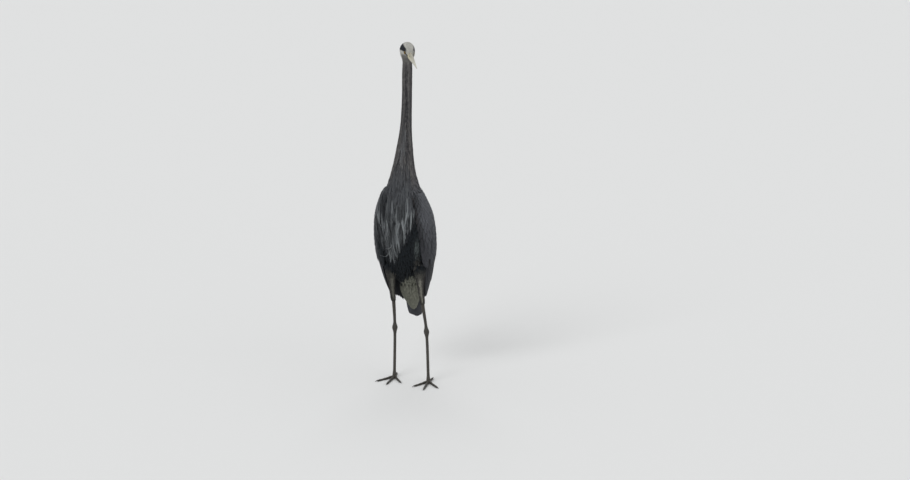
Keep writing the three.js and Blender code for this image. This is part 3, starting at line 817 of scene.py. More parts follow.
def lore(local):
    """1 on the bare skin between the eye and the root of the bill, in the head's frame."""
    middle = mix(-1.5, EYE_UP - 1, np.clip(local[..., 1] / EYE_BACK, 0, 1))
    near = 1 - ease(np.abs(local[..., 2] - middle), 2.4, 4.0)
    return near * (1 - ease(local[..., 1], EYE_BACK - 4, EYE_BACK))


# ---------------------------------------------------------------- skin


def skin_depth(points):
    """How deep the skin lies in the coat: least on the head, and deepest down the trunk."""
    z = points[..., 2]
    deep = mix(TRUNK_COAT, NECK_COAT, ease(z, 700, 900))
    return mix(deep, HEAD_COAT, ease(z, 1180, 1215))


def make_skin():
    """One skin over head, neck, trunk, wings, thighs and undertail.

    A tube over each stack, sunk a little, is fused with the others and settled at the coat's depth.
    """
    around = circle(96)
    z = np.concatenate([np.linspace(TRUNK_END + 0.2, TRUNK_END + 20, 6),
                        np.linspace(TRUNK_END + 26, NECK_TOP - 0.2, 190)])
    zz, aa = np.meshgrid(z, around, indexing="ij")
    relief = np.maximum(wing_height(zz, np.where(aa > np.pi, aa - 2 * np.pi, aa)) - 4, 0)
    parts = [tube("skin_body", body.surface(zz, aa, relief - 3))]
    # name, stack, gap at its low end and its high end, rings, every how many sides, lift
    forms = [("head", head, 0.2, 0.1, 60, 1, -1.0)]
    forms += [("thigh_" + name, thigh, 0.2, 0.2, 50, 3, -2.0) for name, thigh in thighs.items()]
    forms += [("undertail", undertail, 0.3, 0.3, 50, 3, -3.0)]
    for name, stack, low_gap, high_gap, rings, skip, lift in forms:
        at = np.linspace(stack.low + low_gap, stack.high - high_gap, rings)
        zz, aa = np.meshgrid(at, around[::skip], indexing="ij")
        parts.append(tube("skin_" + name, stack.surface(zz, aa, lift)))
    skin = fuse("skin", parts, SKIN_VOXEL, 3)
    points = settle(lambda p: outside(p) + skin_depth(p), read_points(skin.data), 4)
    write_points(skin.data, points)
    local = to_head(points)
    bare = lore(local) * (np.abs(local[:, 0]) > 4)
    set_tint(skin.data, paint(flesh_colours(points) * 0.9, LORE, bare))
    skin.data.materials.append(skin_material())
    return skin


# ---------------------------------------------------------------- vanes


def vane_faces(rings, columns):
    """Corner lists of one vane: a top of quads, a flat underside, a root cap and a pointed tip."""
    tip, last = rings * columns, (rings - 1) * columns
    faces = []  # corners, and whether the face is smooth
    for a in range(0, last, columns):
        b = a + columns
        faces += [((a + j, b + j, b + j + 1, a + j + 1), True) for j in range(columns - 1)]
        faces.append(((a, b - 1, b + columns - 1, b), False))
    faces += [((last + j, tip, last + j + 1), True) for j in range(columns - 1)]
    faces += [((last, tip - 1, tip), False), (tuple(range(columns)), False)]
    corners, smooth = zip(*faces)
    starts = np.cumsum([0] + [len(face) for face in corners[:-1]])
    return np.concatenate(corners), starts, np.array(smooth)


class Coat:
    """Feathers gathered into one mesh: closed thin vanes, each with its colours and two maps."""

    def __init__(self, name):
        self.name, self.groups = name, []
        self.points = self.corners = 0

    def add(self, path, normal, half_width, colours, root_uv, columns=3, camber=0.1, ridge=0.25):
        """Adds vanes along paths.

        path and normal are (rows, vanes, 3) and half_width (rows, vanes). A vane is a ring of
        points at each row, from its left edge over the shaft to its right edge, closed by a flat
        underside, and its last row is a single point. At s from -1 to 1 across the vane, a ring
        rises by ridge (1 - s^2) - camber half_width s^2: the shaft stands up and the edges bend
        down.
        """
        rows, many, _ = path.shape
        ahead = unit(np.gradient(path, axis=0))
        across = unit(np.cross(normal, ahead))
        over = unit(np.cross(ahead, across))
        s = np.linspace(-1, 1, columns)
        wide = half_width[:-1, :, None]
        rise = ridge * (1 - s * s) - camber * wide * s * s
        rings = from_start(path[:-1, :, None], (wide * s, across[:-1, :, None]),
                           (rise, over[:-1, :, None]))
        steps = np.cumsum(np.linalg.norm(np.diff(path, axis=0), axis=2), 0)
        length = np.concatenate([np.zeros((1, many)), steps])

        def each_vane(on_rings, on_tip):
            """Values of a vane's rings one after another, then of its tip."""
            on_rings = np.moveaxis(on_rings, 0, 1).reshape(many, (rows - 1) * columns, -1)
            return np.concatenate([on_rings, on_tip[:, None]], 1)

        verts = each_vane(rings, path[-1])
        flat = each_vane(np.stack(np.broadcast_arrays(wide * s, length[:-1, :, None]), -1),
                         np.stack([np.zeros(many), length[-1]], -1))
        span = np.maximum(length[-1], 1e-6)[:, None, None]
        along = np.append(np.repeat(np.linspace(0, 1, rows)[:-1], columns), 1.0)
        tint = colours(along, np.append(np.tile(s, rows - 1), 0.0))
        loops, starts, smooth = vane_faces(rows - 1, columns)
        number = np.arange(many)[:, None]
        self.groups.append((
            verts.reshape(-1, 3),
            (loops + self.points + number * verts.shape[1]).ravel(),
            (starts + self.corners + number * len(loops)).ravel(),
            np.tile(smooth, many),
            tint.reshape(-1, 3),
            (flat / VANE_UNIT + (0.5, 0)).reshape(-1, 2),
            (root_uv[:, None] + flat / span * BAKE_PATCH).reshape(-1, 2)))
        self.points += many * verts.shape[1]
        self.corners += many * len(loops)

    def cover(self, stack, field, roots, heading, length, half, colours, rows, shape, low, high,
              arch=0.0, bend=0.0, **form):
        """Adds vanes laid over a field from roots on a stack; shape is what outline takes."""
        path, normal = lay(field, roots, heading, length, rows, low, high, arch, bend)
        self.add(path, normal, outline(shares(rows), half, *shape), colours,
                 bake_place(stack, roots), **form)

    def build(self, material):
        verts, loops, starts, smooth, tint, vane, bake = map(np.concatenate, zip(*self.groups))
        obj = new_mesh(self.name, verts, loops, starts, smooth)
        set_uv(obj.data, "Vane", vane, loops)
        set_uv(obj.data, "OFBake", bake, loops)
        set_tint(obj.data, np.clip(tint, 0, 1))
        obj.data.materials.append(material)
        return obj


def shares(rows, power=1.35):
    """Row places along a vane, closer together towards its tip."""
    return 1 - (1 - np.linspace(0, 1, rows)) ** power


def outline(t, half, blunt, fall, root=0.22, stalk=0.25):
    """Half width along a vane, which opens from a narrow stalk and closes to its tip.

    A quarter circle opens it over the root, and (1 - t^blunt)^fall closes it: the higher blunt is,
    the more abruptly.
    """
    opening = mix(stalk, 1, quarter(t / root))
    closing = np.maximum(1 - t ** blunt, 0) ** fall
    return (opening * closing)[:, None] * half[None]


def steer(heading, normal, angle):
    """Headings laid in the plane square to the normals, and turned in it by an angle."""
    ahead = unit(heading - normal * dot(heading, normal)[:, None])
    return from_start(0, (np.cos(angle), ahead), (np.sin(angle), np.cross(normal, ahead)))


def twist(heading, field, angle):
    """A heading turned about the surface's normal by each root's own angle."""
    return lambda points: steer(heading(points), unit(slope(field, points)), angle)


def lay(field, roots, heading, length, rows, low, high, arch=0.0, bend=0.0):
    """Paths over a surface, and the surface's normals along them.

    From each root a path runs along the heading, kept in the surface's tangent plane, one row at a
    time. Its height over the surface goes from low to high, with an arch between. bend turns the
    heading sideways on the way, in radians from root to tip.
    """
    t = shares(rows)
    here = settle(field, roots, 2)
    path, normals = np.empty((2, rows, len(roots), 3))
    for k in range(rows):
        if k:
            ahead = steer(heading(here), normals[k - 1], bend * t[k - 1])
            here = settle(field, from_start(here, (length * (t[k] - t[k - 1]), ahead)), 1)
        normals[k] = unit(slope(field, here))
        height = mix(low, high, t[k]) + arch * np.sin(np.pi * t[k])
        path[k] = from_start(here, (height, normals[k]))
    return path, normals


def shading(base, rng, spread, root_dark=0.25, edge=None, shaft=None, tip=None):
    """Colours of a group of vanes: a base that varies from one to the next, darker at the root.

    edge, shaft and tip are each a colour and the share of it that is mixed in there.
    """
    base = base * (1 + spread * rng.standard_normal((len(base), 1)))

    def colours(t, s):
        colour = base[:, None] * np.ones((1, len(t), 1))
        for trim, where in ((shaft, bell(s, 0, 0.4)), (edge, np.abs(s) ** 1.5), (tip, t ** 3)):
            if trim is not None:
                colour = paint(colour, trim[0], where * trim[1])
        return colour * (1 - root_dark * (1 - t) ** 2)[:, None]

    return colours


def bake_place(stack, points):
    """A root's place on the unwrap of a stack: its angle and its place along the axis."""
    along = (stack.local(points)[:, 2] - stack.low) / (stack.high - stack.low)
    around = (stack.angle(points) + np.pi) / (2 * np.pi)
    return BAKE_MARGIN + (1 - 2 * BAKE_MARGIN) * np.stack([around, np.clip(along, 0, 1)], -1)


# ---------------------------------------------------------------- roots and headings


def at_height(gap, z):
    """A spacing, which may be given as a function of height."""
    return gap(z) if callable(gap) else gap


def levels(start, end, gap):
    """Heights from start down to end."""
    out = [start]
    while out[-1] > end:
        out.append(out[-1] - at_height(gap, out[-1]))
    return np.array(out[:-1])


def staggered(heights, count, rng, jitter):
    """Staggered rows: a height for each root, and its place along its row from 0 to 1."""
    at, place = [], []
    step = np.abs(np.gradient(heights))
    for k, z in enumerate(heights):
        many = max(3, int(count(z)))
        off = 0.5 * (k % 2) + jitter * rng.uniform(-1, 1, many)
        place.append((np.arange(many) + off) / many)
        at.append(z + step[k] * jitter * rng.uniform(-1, 1, many))
    return np.concatenate(at), np.concatenate(place)


def rows_of(stack, heights, gap, rng, angles=(-np.pi, np.pi), jitter=0.3):
    """Staggered rows round a stack: places along it and angles, a gap apart along each slice."""
    swing = angles[1] - angles[0]

    def count(z):
        wide, front = stack.curve["wide"](z), stack.curve["front"](z)
        girth = swing * np.sqrt((wide ** 2 + front ** 2) / 2) * max(float(stack.share(z)), 0.05)
        return girth / at_height(gap, z)

    at, place = staggered(heights, count, rng, jitter)
    return at, angles[0] + swing * place


def kept(keep, *values):
    """Each of the arrays, at the places to keep."""
    return [value[keep] for value in values]


def uncovered(stack, at, angle, depth):
    """Roots on a stack that lie no deeper than this in the flesh, with their places and angles."""
    roots = stack.surface(at, angle)
    return kept(flesh(roots) > -depth, roots, at, angle)


def varied(size, spread, rng, many):
    """Sizes that differ from one feather to the next."""
    return size * (1 + spread * rng.standard_normal(many))


def falling(points, aside, back):
    """A heading that goes aside and back by these amounts while it falls by 1."""
    heading = np.empty_like(points)
    heading[:, 0], heading[:, 1], heading[:, 2] = aside, back, -1
    return heading


def body_heading(points):
    """Down the neck and breast, and down and back along the belly."""
    return falling(points, 0, mix(0.35, 0.0, ease(points[:, 2], 420, 560)))


def wing_heading(points):
    """Down a wing and back from its front edge."""
    return falling(points, 0, 0.30)


def back_heading(points):
    """Down the back, drawing a little towards its middle."""
    return falling(points, -0.10 * np.sign(points[:, 0]), 0)


def throat_share(local, lean, back):
    """1 on the throat and 0 over the head, by the angle from the crown and the place backwards."""
    return ease(np.arctan2(np.abs(local[:, 0]), local[:, 2]), *lean) * ease(local[:, 1], *back)


def head_heading(points):
    """Back from the bill over the head, bending down on to the neck, soonest on the throat."""
    p = to_head(points)
    past = np.maximum(ease(p[:, 1], 70, 104), throat_share(p, (1.5, 2.3), (14, 50)))
    return unit(paint(HEAD_TURN[:, 1], -UP, 0.85 * past))


# ---------------------------------------------------------------- coat of the head and neck


def head_coat():
    """Tiny feathers over the head, clear of the eyes and of the bare lores."""
    rng = np.random.default_rng(11)
    coat = Coat("feathers_head")
    at, angle = rows_of(head, np.arange(1.5, 103.0, 1.5), 1.35, rng)
    roots = uncovered(head, at, angle, 7)[0]
    local = to_head(roots)
    aside = np.abs(local[:, 0])
    from_eye = np.hypot(local[:, 1] - EYE_BACK, local[:, 2] - EYE_UP)
    clear = ~((from_eye < 4.8) & (aside > 8)) & ~((lore(local) > 0.5) & (aside > 6))
    roots, local, from_eye = kept(clear, roots, local, from_eye)
    many = len(roots)
    size = mix(0.5, 1.0, ease(local[:, 1], 2, 40)) * mix(0.6, 1.0, ease(from_eye, 7, 18))
    throat = throat_share(local, (1.7, 2.5), (14, 46))
    length = varied(9.5 * size * (1 + 0.5 * throat), 0.15, rng, many)
    heading = twist(head_heading, flesh, 0.12 * rng.standard_normal(many))
    path, normal = lay(flesh, roots, heading, length, rows=5, low=-0.7, high=0.05, arch=0.05)
    colours = shading(flesh_colours(path[0]), rng, 0.03, root_dark=0.06)
    coat.add(path, normal, outline(shares(5), 1.3 * size, 1.8, 0.85, 0.22, 0.6), colours,
             bake_place(head, roots), ridge=0.01, camber=0.0)
    return coat


def neck_coat(name, seed, top, bottom):
    """Fine, narrow feathers down the neck, longer below, with streaks down the foreneck."""
    rng = np.random.default_rng(seed)
    coat = Coat(name)
    rows = levels(top, bottom, lambda z: mix(7.0, 3.6, ease(z, 760, 960)))
    at, angle = rows_of(body, rows, lambda z: mix(3.6, 1.8, ease(z, 760, 960)), rng)
    roots, _, angle = uncovered(body, at, angle, 7)
    many, z = len(roots), roots[:, 2]
    low = ease(z, 960, 760)
    length = varied(mix(17.0, 38.0, low), 0.2, rng, many)
    half = varied(mix(1.4, 2.3, low), 0.15, rng, many)
    colour = neck_streaks(flesh_colours(roots), angle, z, rng)
    heading = twist(body_heading, flesh, 0.10 * rng.standard_normal(many))
    colours = shading(colour, rng, 0.07, root_dark=0.2, tip=(NECK_PALE, 0.06))
    coat.cover(body, flesh, roots, heading, length, half, colours, 6, (1.7, 0.85, 0.2, 0.5),
               low=-1.4, high=mix(0.2, 1.4, low), arch=0.15, ridge=0.06)
    return coat


def neck_streaks(colour, angle, z, rng):
    """Soft streaks, and two broken dark lines down the foreneck, with a pale line between below."""
    many = len(z)
    line = angle - 0.10 * np.sin(z / 70) - 0.06 * np.sin(z / 23 + 1) - 0.08
    line = line + 0.06 * rng.standard_normal(many)
    apart = mix(0.34, 0.05, ease(z, 880, 1060))
    below_chin = 1 - ease(z, 1150, 1200)
    dark = bell(np.abs(line), apart, 0.18) * below_chin * (rng.uniform(0, 1, many) < 0.9)
    pale = bell(line, 0, 0.12) * (1 - ease(z, 930, 1040))
    pale = pale + 0.5 * bell(np.abs(line), apart + 0.42, 0.16)
    pale = pale * (rng.uniform(0, 1, many) < 0.8) * (1 - dark)
    sway = angle + 0.12 * np.sin(z / 45) + 0.07 * np.sin(z / 19 + 2)
    waves = np.sin(13 * sway + 0.9) + 0.8 * np.sin(22 * sway + 2.1 + z / 150)
    in_front = 1 - ease(np.abs(angle), 1.3, 2.0)
    colour = colour * (1 + 0.25 * waves * in_front * below_chin)[:, None]
    colour = paint(colour, NECK_DARK, 0.9 * dark)
    colour = paint(colour, NECK_PALE, 0.75 * np.clip(pale, 0, 1))
    stray = rng.uniform(0, 1, many)
    colour = paint(colour, NECK_DARK, 0.5 * (stray < 0.10))
    return paint(colour, NECK_PALE, 0.35 * (stray > 0.92))


# ---------------------------------------------------------------- plumes of the breast


def plume_hem(angle):
    """The height at which the breast plumes end: lowest a little to the right of the middle."""
    off = (angle + 22 * DEG) / (50 * DEG)
    return 448 + 130 * np.clip(np.where(off > 0, off, -0.8 * off), 0, 1.2) ** 1.15


def chest_hem(angle):
    """The height at which the grey chest ends in dark plumes: highest half way to each side."""
    right, left = bell(angle, -30 * DEG, 15 * DEG), bell(angle, 38 * DEG, 14 * DEG)
    return 688 + 42 * right + 36 * left


def plume_reach(angle, z):
    """Whether breast plumes grow here: over the right wing's edge, and up to the left one's."""
    right_edge = mix(-76, -46, ease(z, 696, 714)) * DEG
    return (angle > right_edge) & (angle < wing_edges(z)[0] + 3 * DEG)


# The palest locks of the breast: angle round the body in degrees, top and tip heights, paleness.
PALE_LOCKS = np.array([
    (-69, 668, 585, 0.7), (-64, 650, 575, 0.7), (-47, 625, 545, 0.5), (-38, 640, 548, 0.65),
    (-33, 600, 525, 0.5), (-29, 560, 462, 0.3), (-21, 575, 470, 0.4), (-8, 600, 490, 0.7),
    (-4, 585, 492, 0.6), (0, 640, 545, 0.6), (6, 650, 540, 0.85), (12, 655, 525, 0.8),
    (17, 632, 518, 0.6), (27, 676, 590, 0.75), (32, 664, 575, 0.8),
], float)


def breast_coat():
    """Plumes over the breast: a dark, close layer, fine streaks above, and pointed locks.

    The locks end in a ragged hem. A group of locks gives its angles, tops and tips, how pale it is,
    and then its bend, strands, lift, half widths and spread.
    """
    rng = np.random.default_rng(14)
    coat = Coat("plumes_breast")
    under_plumes(coat, rng)
    # Fine streaks down the chest, barely paler than what they lie on.
    many = 190
    angle = rng.uniform(-72, 58, many) * DEG
    top = rng.uniform(690, 830, many)
    bright = 0.12 + 0.24 * breast_streaks(angle, top - 40) + rng.normal(0, 0.05, many)
    bright = np.clip(bright, 0, 1) * (1 - 0.6 * bell(angle, -32 * DEG, 16 * DEG))
    keep = plume_reach(angle, top - 60)
    tip = np.maximum(top - rng.uniform(70, 120, many),
                     chest_hem(angle) - 36 + rng.normal(0, 9, many))
    keep &= top - tip > 30
    locks(coat, rng, *kept(keep, angle, top, tip, bright), 0.05, 3, 1.8, (1.0, 1.8), 3.0)
    # Long pale and dark lines side by side down the lower foreneck.
    many = 44
    angle = np.clip(rng.normal(0, 5, many), -9, 9) * DEG
    top = rng.uniform(850, 985, many)
    tip = top - rng.uniform(80, 130, many)
    bright = rng.uniform(0.0, 0.45, many)
    locks(coat, rng, angle - 2 * DEG, top, tip, bright, 0.04, 2, 1.2, (0.7, 1.3), 1.6)
    # Hanging locks, a few of them pale.
    many = 150
    angle = rng.uniform(-74, 50, many) * DEG
    top = rng.uniform(530, 715, many)
    tip = np.maximum(top - rng.uniform(70, 115, many), plume_hem(angle) + rng.normal(0, 12, many))
    bright = np.where(rng.uniform(0, 1, many) < 0.25, rng.uniform(0.35, 0.65, many),
                      rng.uniform(0.0, 0.28, many))
    low_right = ease(-angle, 15 * DEG, 45 * DEG) * (1 - ease(top, 560, 640))
    bright = bright * mix(1, 0.6, low_right)
    keep = (top - tip > 36) & plume_reach(angle, tip)
    locks(coat, rng, *kept(keep, angle, top, tip, bright), 0.12, 6, 4.0, (1.9, 3.1), 5.5)
    angle, top, tip, bright = PALE_LOCKS.T
    locks(coat, rng, angle * DEG, top + 10, tip - 6, bright, 0.10, 9, 5.0, (1.9, 3.0), 6.5)
    # Loose wisps that curl out of the hem, low on the right.
    many = 8
    angle = rng.uniform(-38, -14, many) * DEG
    top = rng.uniform(500, 540, many)
    tip = top - rng.uniform(55, 80, many)
    locks(coat, rng, angle, top, tip, rng.uniform(0.4, 0.9, many), 0.9, 2, 9.0, (1.1, 1.7), 4.0)
    return coat


def breast_streaks(angle, z):
    """Soft upright bands, a centimetre or so wide: sums of waves round the breast, from -1 to 1."""
    sway = angle + 0.10 * np.sin(z / 60 + 2 * angle)
    waves = np.sin(21 * sway + 1.3) + 0.7 * np.sin(34 * sway + 0.4 + z / 120)
    return (waves + 0.5 * np.sin(55 * angle - z / 75)) / 2.2


def under_plumes(coat, rng):
    """The close layer: narrow plumes in staggered rows, slate above and dark below."""
    at, angle = rows_of(body, levels(850.0, 500.0, 13.0), 7.5, rng, (-78 * DEG, 78 * DEG), 0.5)
    at, angle = kept(plume_reach(angle, at), at, angle)
    many = len(at)
    length = mix(48.0, 84.0, ease(at, 850, 650)) * rng.uniform(0.75, 1.15, many)
    length = np.minimum(length, at - plume_hem(angle) - rng.normal(0, 12, many))
    at, angle, length = kept(length > 25, at, angle, length)
    many = len(at)
    half = rng.uniform(2.8, 4.4, many)
    dark = paint(PLUME_DARK, CHEST, 0.45 * rng.uniform(0, 1, many) ** 2)
    bands = breast_streaks(angle, at)
    contrast = mix(0.28, 0.46, ease(at, 780, 660))
    chest = CHEST * (1 + 0.08 * rng.uniform(-1, 1, many) + contrast * bands)[:, None]
    colour = paint(dark, chest, ease(at + 18 * bands - chest_hem(angle), -20, 40))
    neck = neck_streaks(np.tile(NECK, (many, 1)), angle, at, rng)
    colour = paint(colour, neck, ease(at, 760, 850))
    inward = 0.07 * rng.standard_normal(many) - 0.10 * np.sin(angle)
    colours = shading(colour, rng, 0.07, root_dark=0.35, tip=(PLUME_PALE, 0.08))
    coat.cover(body, outside, body.surface(at, angle), twist(body_heading, outside, inward), length,
               half, colours, 8, (1.7, 0.9, 0.12), low=-2.0, high=2.2, arch=0.6, ridge=0.3)


def locks(coat, rng, angle, top, tip, bright, bend, strands, lift, width, spread):
    """Pointed locks: each is a few strands, spread above, that draw together along one path."""
    roots = body.surface(top, angle)
    inward = 0.07 * rng.standard_normal(len(top)) - 0.12 * np.sin(angle)
    bend = bend * rng.standard_normal(len(top))
    path, normal = lay(outside, roots, twist(body_heading, outside, inward), top - tip, rows=11,
                       low=-0.5, high=lift, arch=0.5 * lift, bend=bend)
    of = np.repeat(np.arange(len(top)), strands)  # the lock that each strand is of
    many = len(of)
    t = shares(11)[:, None]
    normal = normal[:, of]
    ahead = unit(np.gradient(path, axis=0))[:, of]
    aside = rng.uniform(-1, 1, many) * rng.uniform(0.7, 1.3, len(top))[of] * spread
    reach = rng.uniform(0.74, 1.0, many)
    rise = rng.uniform(-0.8, 0.8, many)
    track = from_start(path[:, of], (-(top - tip)[of] * (1 - reach) * t, ahead),
                       (aside * (1 - 0.8 * t ** 1.2), np.cross(normal, ahead)),
                       (rise * (1 - t), normal))
    dark = paint(PLUME_DARK, CHEST, 0.85 * ease(top, 670, 740))
    dark = paint(dark, NECK, ease(top, 780, 870))
    colour = paint(dark, PLUME_PALE, bright)[of]
    colour = paint(colour, PLUME_DARK, 0.35 * (rng.uniform(0, 1, many) < 0.25))
    colours = shading(colour, rng, 0.07, root_dark=0.55, tip=(PLUME_PALE, 0.12))
    half = rng.uniform(*width, many)
    coat.add(track, normal, outline(t[:, 0], half, 2.0, 0.85, 0.25, 0.3), colours,
             bake_place(body, roots)[of], ridge=0.35)


# ---------------------------------------------------------------- coat of the trunk and thighs


def over_shoulders(points):
    """Distance outside the flesh, and higher up outside the tops of the wings as well."""
    return mix(flesh(points), outside(points), ease(points[..., 2], 698, 714))


def trunk_coat():
    """Rounded feathers over what the wings leave bare: breast sides, belly, flanks and back."""
    rng = np.random.default_rng(15)
    coat = Coat("feathers_trunk")
    at, angle = rows_of(body, levels(770.0, 338.0, 9.5), 9.0, rng)
    front, back = wing_edges(at)
    a = np.abs(angle)
    covered = (a > front + 10 * DEG) & (a < back - 6 * DEG) & (at < 712) & (at > 400)
    covered |= plume_reach(angle, at) & (at > plume_hem(angle) + 45)
    roots = uncovered(body, at[~covered], angle[~covered], 3)[0]
    many = len(roots)
    length = varied(27.0, 0.15, rng, many)
    half = varied(6.4, 0.1, rng, many)
    heading = twist(body_heading, flesh, 0.12 * rng.standard_normal(many))
    colour = flesh_colours(roots)
    colours = shading(colour, rng, 0.08, root_dark=0.4, edge=(colour[:, None] * 1.15, 0.5))
    coat.cover(body, over_shoulders, roots, heading, length, half, colours, 6, (3.0, 0.6),
               low=-3.0, high=2.2, arch=0.5)
    return coat


def thigh_coat(name, seed):
    """Soft, close feathers down a thigh, ending in a ragged cuff round the shank."""
    rng = np.random.default_rng(seed)
    coat = Coat("feathers_thigh_" + name)
    thigh, side = thighs[name], LEGS[name]["side"]
    left = 0.5 + 0.5 * side
    at, angle = rows_of(thigh, levels(438.0, thigh.low + 2, 4.6), 4.0, rng)
    roots, at, angle = uncovered(thigh, at, angle, 2.5)
    many = len(roots)
    high = ease(at, 300, 420)
    length = varied(mix(14.0, 19.0, high), 0.2, rng, many)
    half = varied(mix(1.9, 3.4, high), 0.15, rng, many)
    down = unit(np.subtract(LEGS[name]["hem"], LEGS[name]["knee"]))
    strip = bell(angle, mix(36, 20, left) * DEG, 27 * DEG) * ease(at, 290, 320)
    colour = paint(THIGH_DULL, RUFOUS, ease(-np.sin(angle * side), 0.2, 0.9))
    # painted light: the left thigh's pale strip is painted 1.35 times brighter than the right's, as
    # lit more strongly
    colour = paint(colour, THIGH_PALE * mix(1.0, 1.35, left), strip)
    colour = paint(colour, RUFOUS, 0.8 * ease(at, 384, 405))
    colour = paint(colour, BELLY, ease(at, 408, 435))
    heading = twist(lambda points: np.broadcast_to(down, points.shape), flesh,
                    0.12 * rng.standard_normal(many))
    coat.cover(thigh, flesh, roots, heading, length, half, shading(colour, rng, 0.10, 0.3), 6,
               (2.0, 0.8), low=-1.8, high=1.2, arch=0.4)
    return coat


# ---------------------------------------------------------------- wings


def on_wing(z, place, side):
    """A point on a folded wing's outer face, from its height and its place from front to back."""
    front, back = wing_edges(z)
    angle = mix(front, back, place)
    return envelope.surface(z, angle * side, np.maximum(wing_height(z, angle), 0))


def wing_arc(z):
    """Length round the body between a folded wing's two edges, at a height."""
    front, back = wing_edges(z)
    points = envelope.surface(z, mix(front, back, np.linspace(0, 1, 24)), 12.0)
    return np.sum(np.linalg.norm(np.diff(points, axis=0), axis=1))


def wing_rows(heights, gap, rng):
    """Staggered rows down a wing: heights, and places from its front edge (0) to its back (1)."""
    first, last = 0.02, 0.98
    count = lambda z: wing_arc(z) * (last - first) / gap(z)
    at, place = staggered(heights, count, rng, 0.18)
    return at, mix(first, last, np.clip(place, 0, 1))


def covert_size(z, place):
    """Feather size on a wing, from 0 at the bend to 1 where the great coverts begin."""
    return np.clip((WING_TOP - z) / COVERT_RUN + 0.28 * (place - 0.35), 0, 1)


def covert_hem(place, side):
    """Height of the coverts' lower edge, rising towards the back: found by steps along the wing."""
    z = np.full(len(place), 450.0)
    for _ in range(8):
        z = 0.5 * z + 0.5 * (400 + 100 * (on_wing(z, place, side)[:, 1] + 25) / 125)
    return z


def covert_coat(name, side, seed):
    """Wing coverts: small scales at the bend and front edge, and two rows of great ones below."""
    rng = np.random.default_rng(seed)
    coat = Coat("wing_coverts_" + name)
    grown = lambda z: (WING_TOP - z) / COVERT_RUN
    rows = levels(716.0, 440.0, lambda z: mix(8.0, 24.0, np.clip(grown(z), 0, 1)))
    at, place = wing_rows(rows, lambda z: mix(7.0, 14.5, grown(z)), rng)
    at = at + 60 * (0.5 - place) * (1 - ease(at, 560, 700))  # rows slope down towards the back
    at, place = kept(at > covert_hem(place, side) + 66, at, place)
    size = covert_size(at, place)
    length = varied(mix(19.0, 84.0, size ** 1.3), 0.06, rng, len(at))
    half = varied(mix(4.8, 9.8, size), 0.06, rng, len(at))
    great = 15
    across = (np.arange(great) + 0.5) / great
    for above, long in ((118.0, 114.0), (96.0, 62.0)):
        row = covert_hem(across, side) + above + rng.normal(0, 2, great)
        at, place = np.append(at, row), np.append(place, across)
        length = np.append(length, np.full(great, long))
        half = np.append(half, np.full(great, 10.5))
    at, place, length, half = kept(np.argsort(at), at, place, length, half)
    around = mix(*wing_edges(at), place)
    keep = (side > 0) | (around > 58 * DEG) | (at < 590) | (at > 690)
    at, place, length, half, around = kept(keep, at, place, length, half, around)
    many = len(at)
    heading = twist(wing_heading, wing_field, 0.04 * side * rng.standard_normal(many))
    low, lowest = 1 - ease(at, 500, 680), 1 - ease(at, 470, 560)
    colour = paint(SLATE, SLATE_DARK, 0.85 * low * (1 - ease(place, 0.35, 0.8)))
    colour = paint(colour, FLIGHT, 0.55 * lowest * (1 - ease(place, 0.3, 0.7)))
    colour = paint(colour, BLACK, 0.7 * ease(at, 636, 690) * (1 - ease(place, 0.12, 0.3)))
    rim = (1 - ease(place, 0.02, 0.06)) * (rng.uniform(0, 1, many) < 0.5) * ease(at, 600, 660)
    colour = paint(colour, RUFOUS_PALE, 0.5 * rim)
    if side > 0:  # the front edge of the left wing lies in the dark of the flank
        # painted shade: the front edge of the left wing is painted near black as shadow beside the
        # flank
        shade = (1 - ease(place, 0.04, 0.13)) * ease(at, 500, 560) * (1 - ease(at, 690, 712))
        colour = paint(colour, BLACK, 0.75 * shade)
    else:  # dark flank feathers lie over the front of the right wing
        colour = paint(BELLY, colour, ease(around, 60 * DEG, 68 * DEG))
    colours = shading(colour, rng, 0.05, root_dark=0.2, edge=(colour[:, None] * 1.18, 0.5))
    coat.cover(body, wing_field, on_wing(at, place, side), heading, length, half, colours, 8,
               (3.4, 0.55), low=-2.0, high=mix(1.2, 3.0, covert_size(at, place)), arch=0.5,
               columns=5, camber=0.12)
    return coat


def flight_coat(name, side, seed):
    """Folded flight feathers: dark quills in front and below, grey inner ones over them behind."""
    rng = np.random.default_rng(seed)
    coat = Coat("flight_feathers_" + name)
    groups = [
        # count, the roots' and tips' places across, their heights, half width, lift, colour;
        # a pair of places or heights is for the first and last feather, a lift for root and tip
        (12, (0.10, 0.72), (0.16, 0.90), (470, 500), (300, 240), 9.5, (-3.0, 0.5), FLIGHT),
        (9, (0.30, 0.92), (0.42, 0.96), (520, 560), (345, 262), 12.0, (-4.0, 3.0), SLATE_DARK),
        (7, (0.45, 0.95), (0.55, 0.97), (560, 590), (400, 300), 13.5, (-1.2, 5.0), SLATE),
    ]
    t = shares(14, 1.25)[:, None]
    for many, root_place, tip_place, root_z, tip_z, wide, lift, base in groups:
        share = np.linspace(0, 1, many)
        z = mix(mix(*root_z, share), mix(*tip_z, share) + rng.normal(0, 2, many), t)
        place = mix(mix(*root_place, share), mix(*tip_place, share), t ** 1.2)
        points = on_wing(z, place, side)
        normal = unit(slope(wing_field, points.reshape(-1, 3)).reshape(points.shape))
        path = from_start(points, (mix(*lift, t) + 0.35 * np.arange(many), normal))
        colours = shading(np.tile(base, (many, 1)), rng, 0.05, edge=(base * 1.35, 0.35),
                          shaft=(BLACK, 0.3))
        coat.add(path, normal, outline(t[:, 0], np.full(many, wide), 5.0, 0.6, 0.1), colours,
                 bake_place(body, points[0]), columns=7, camber=0.14)
    return coat


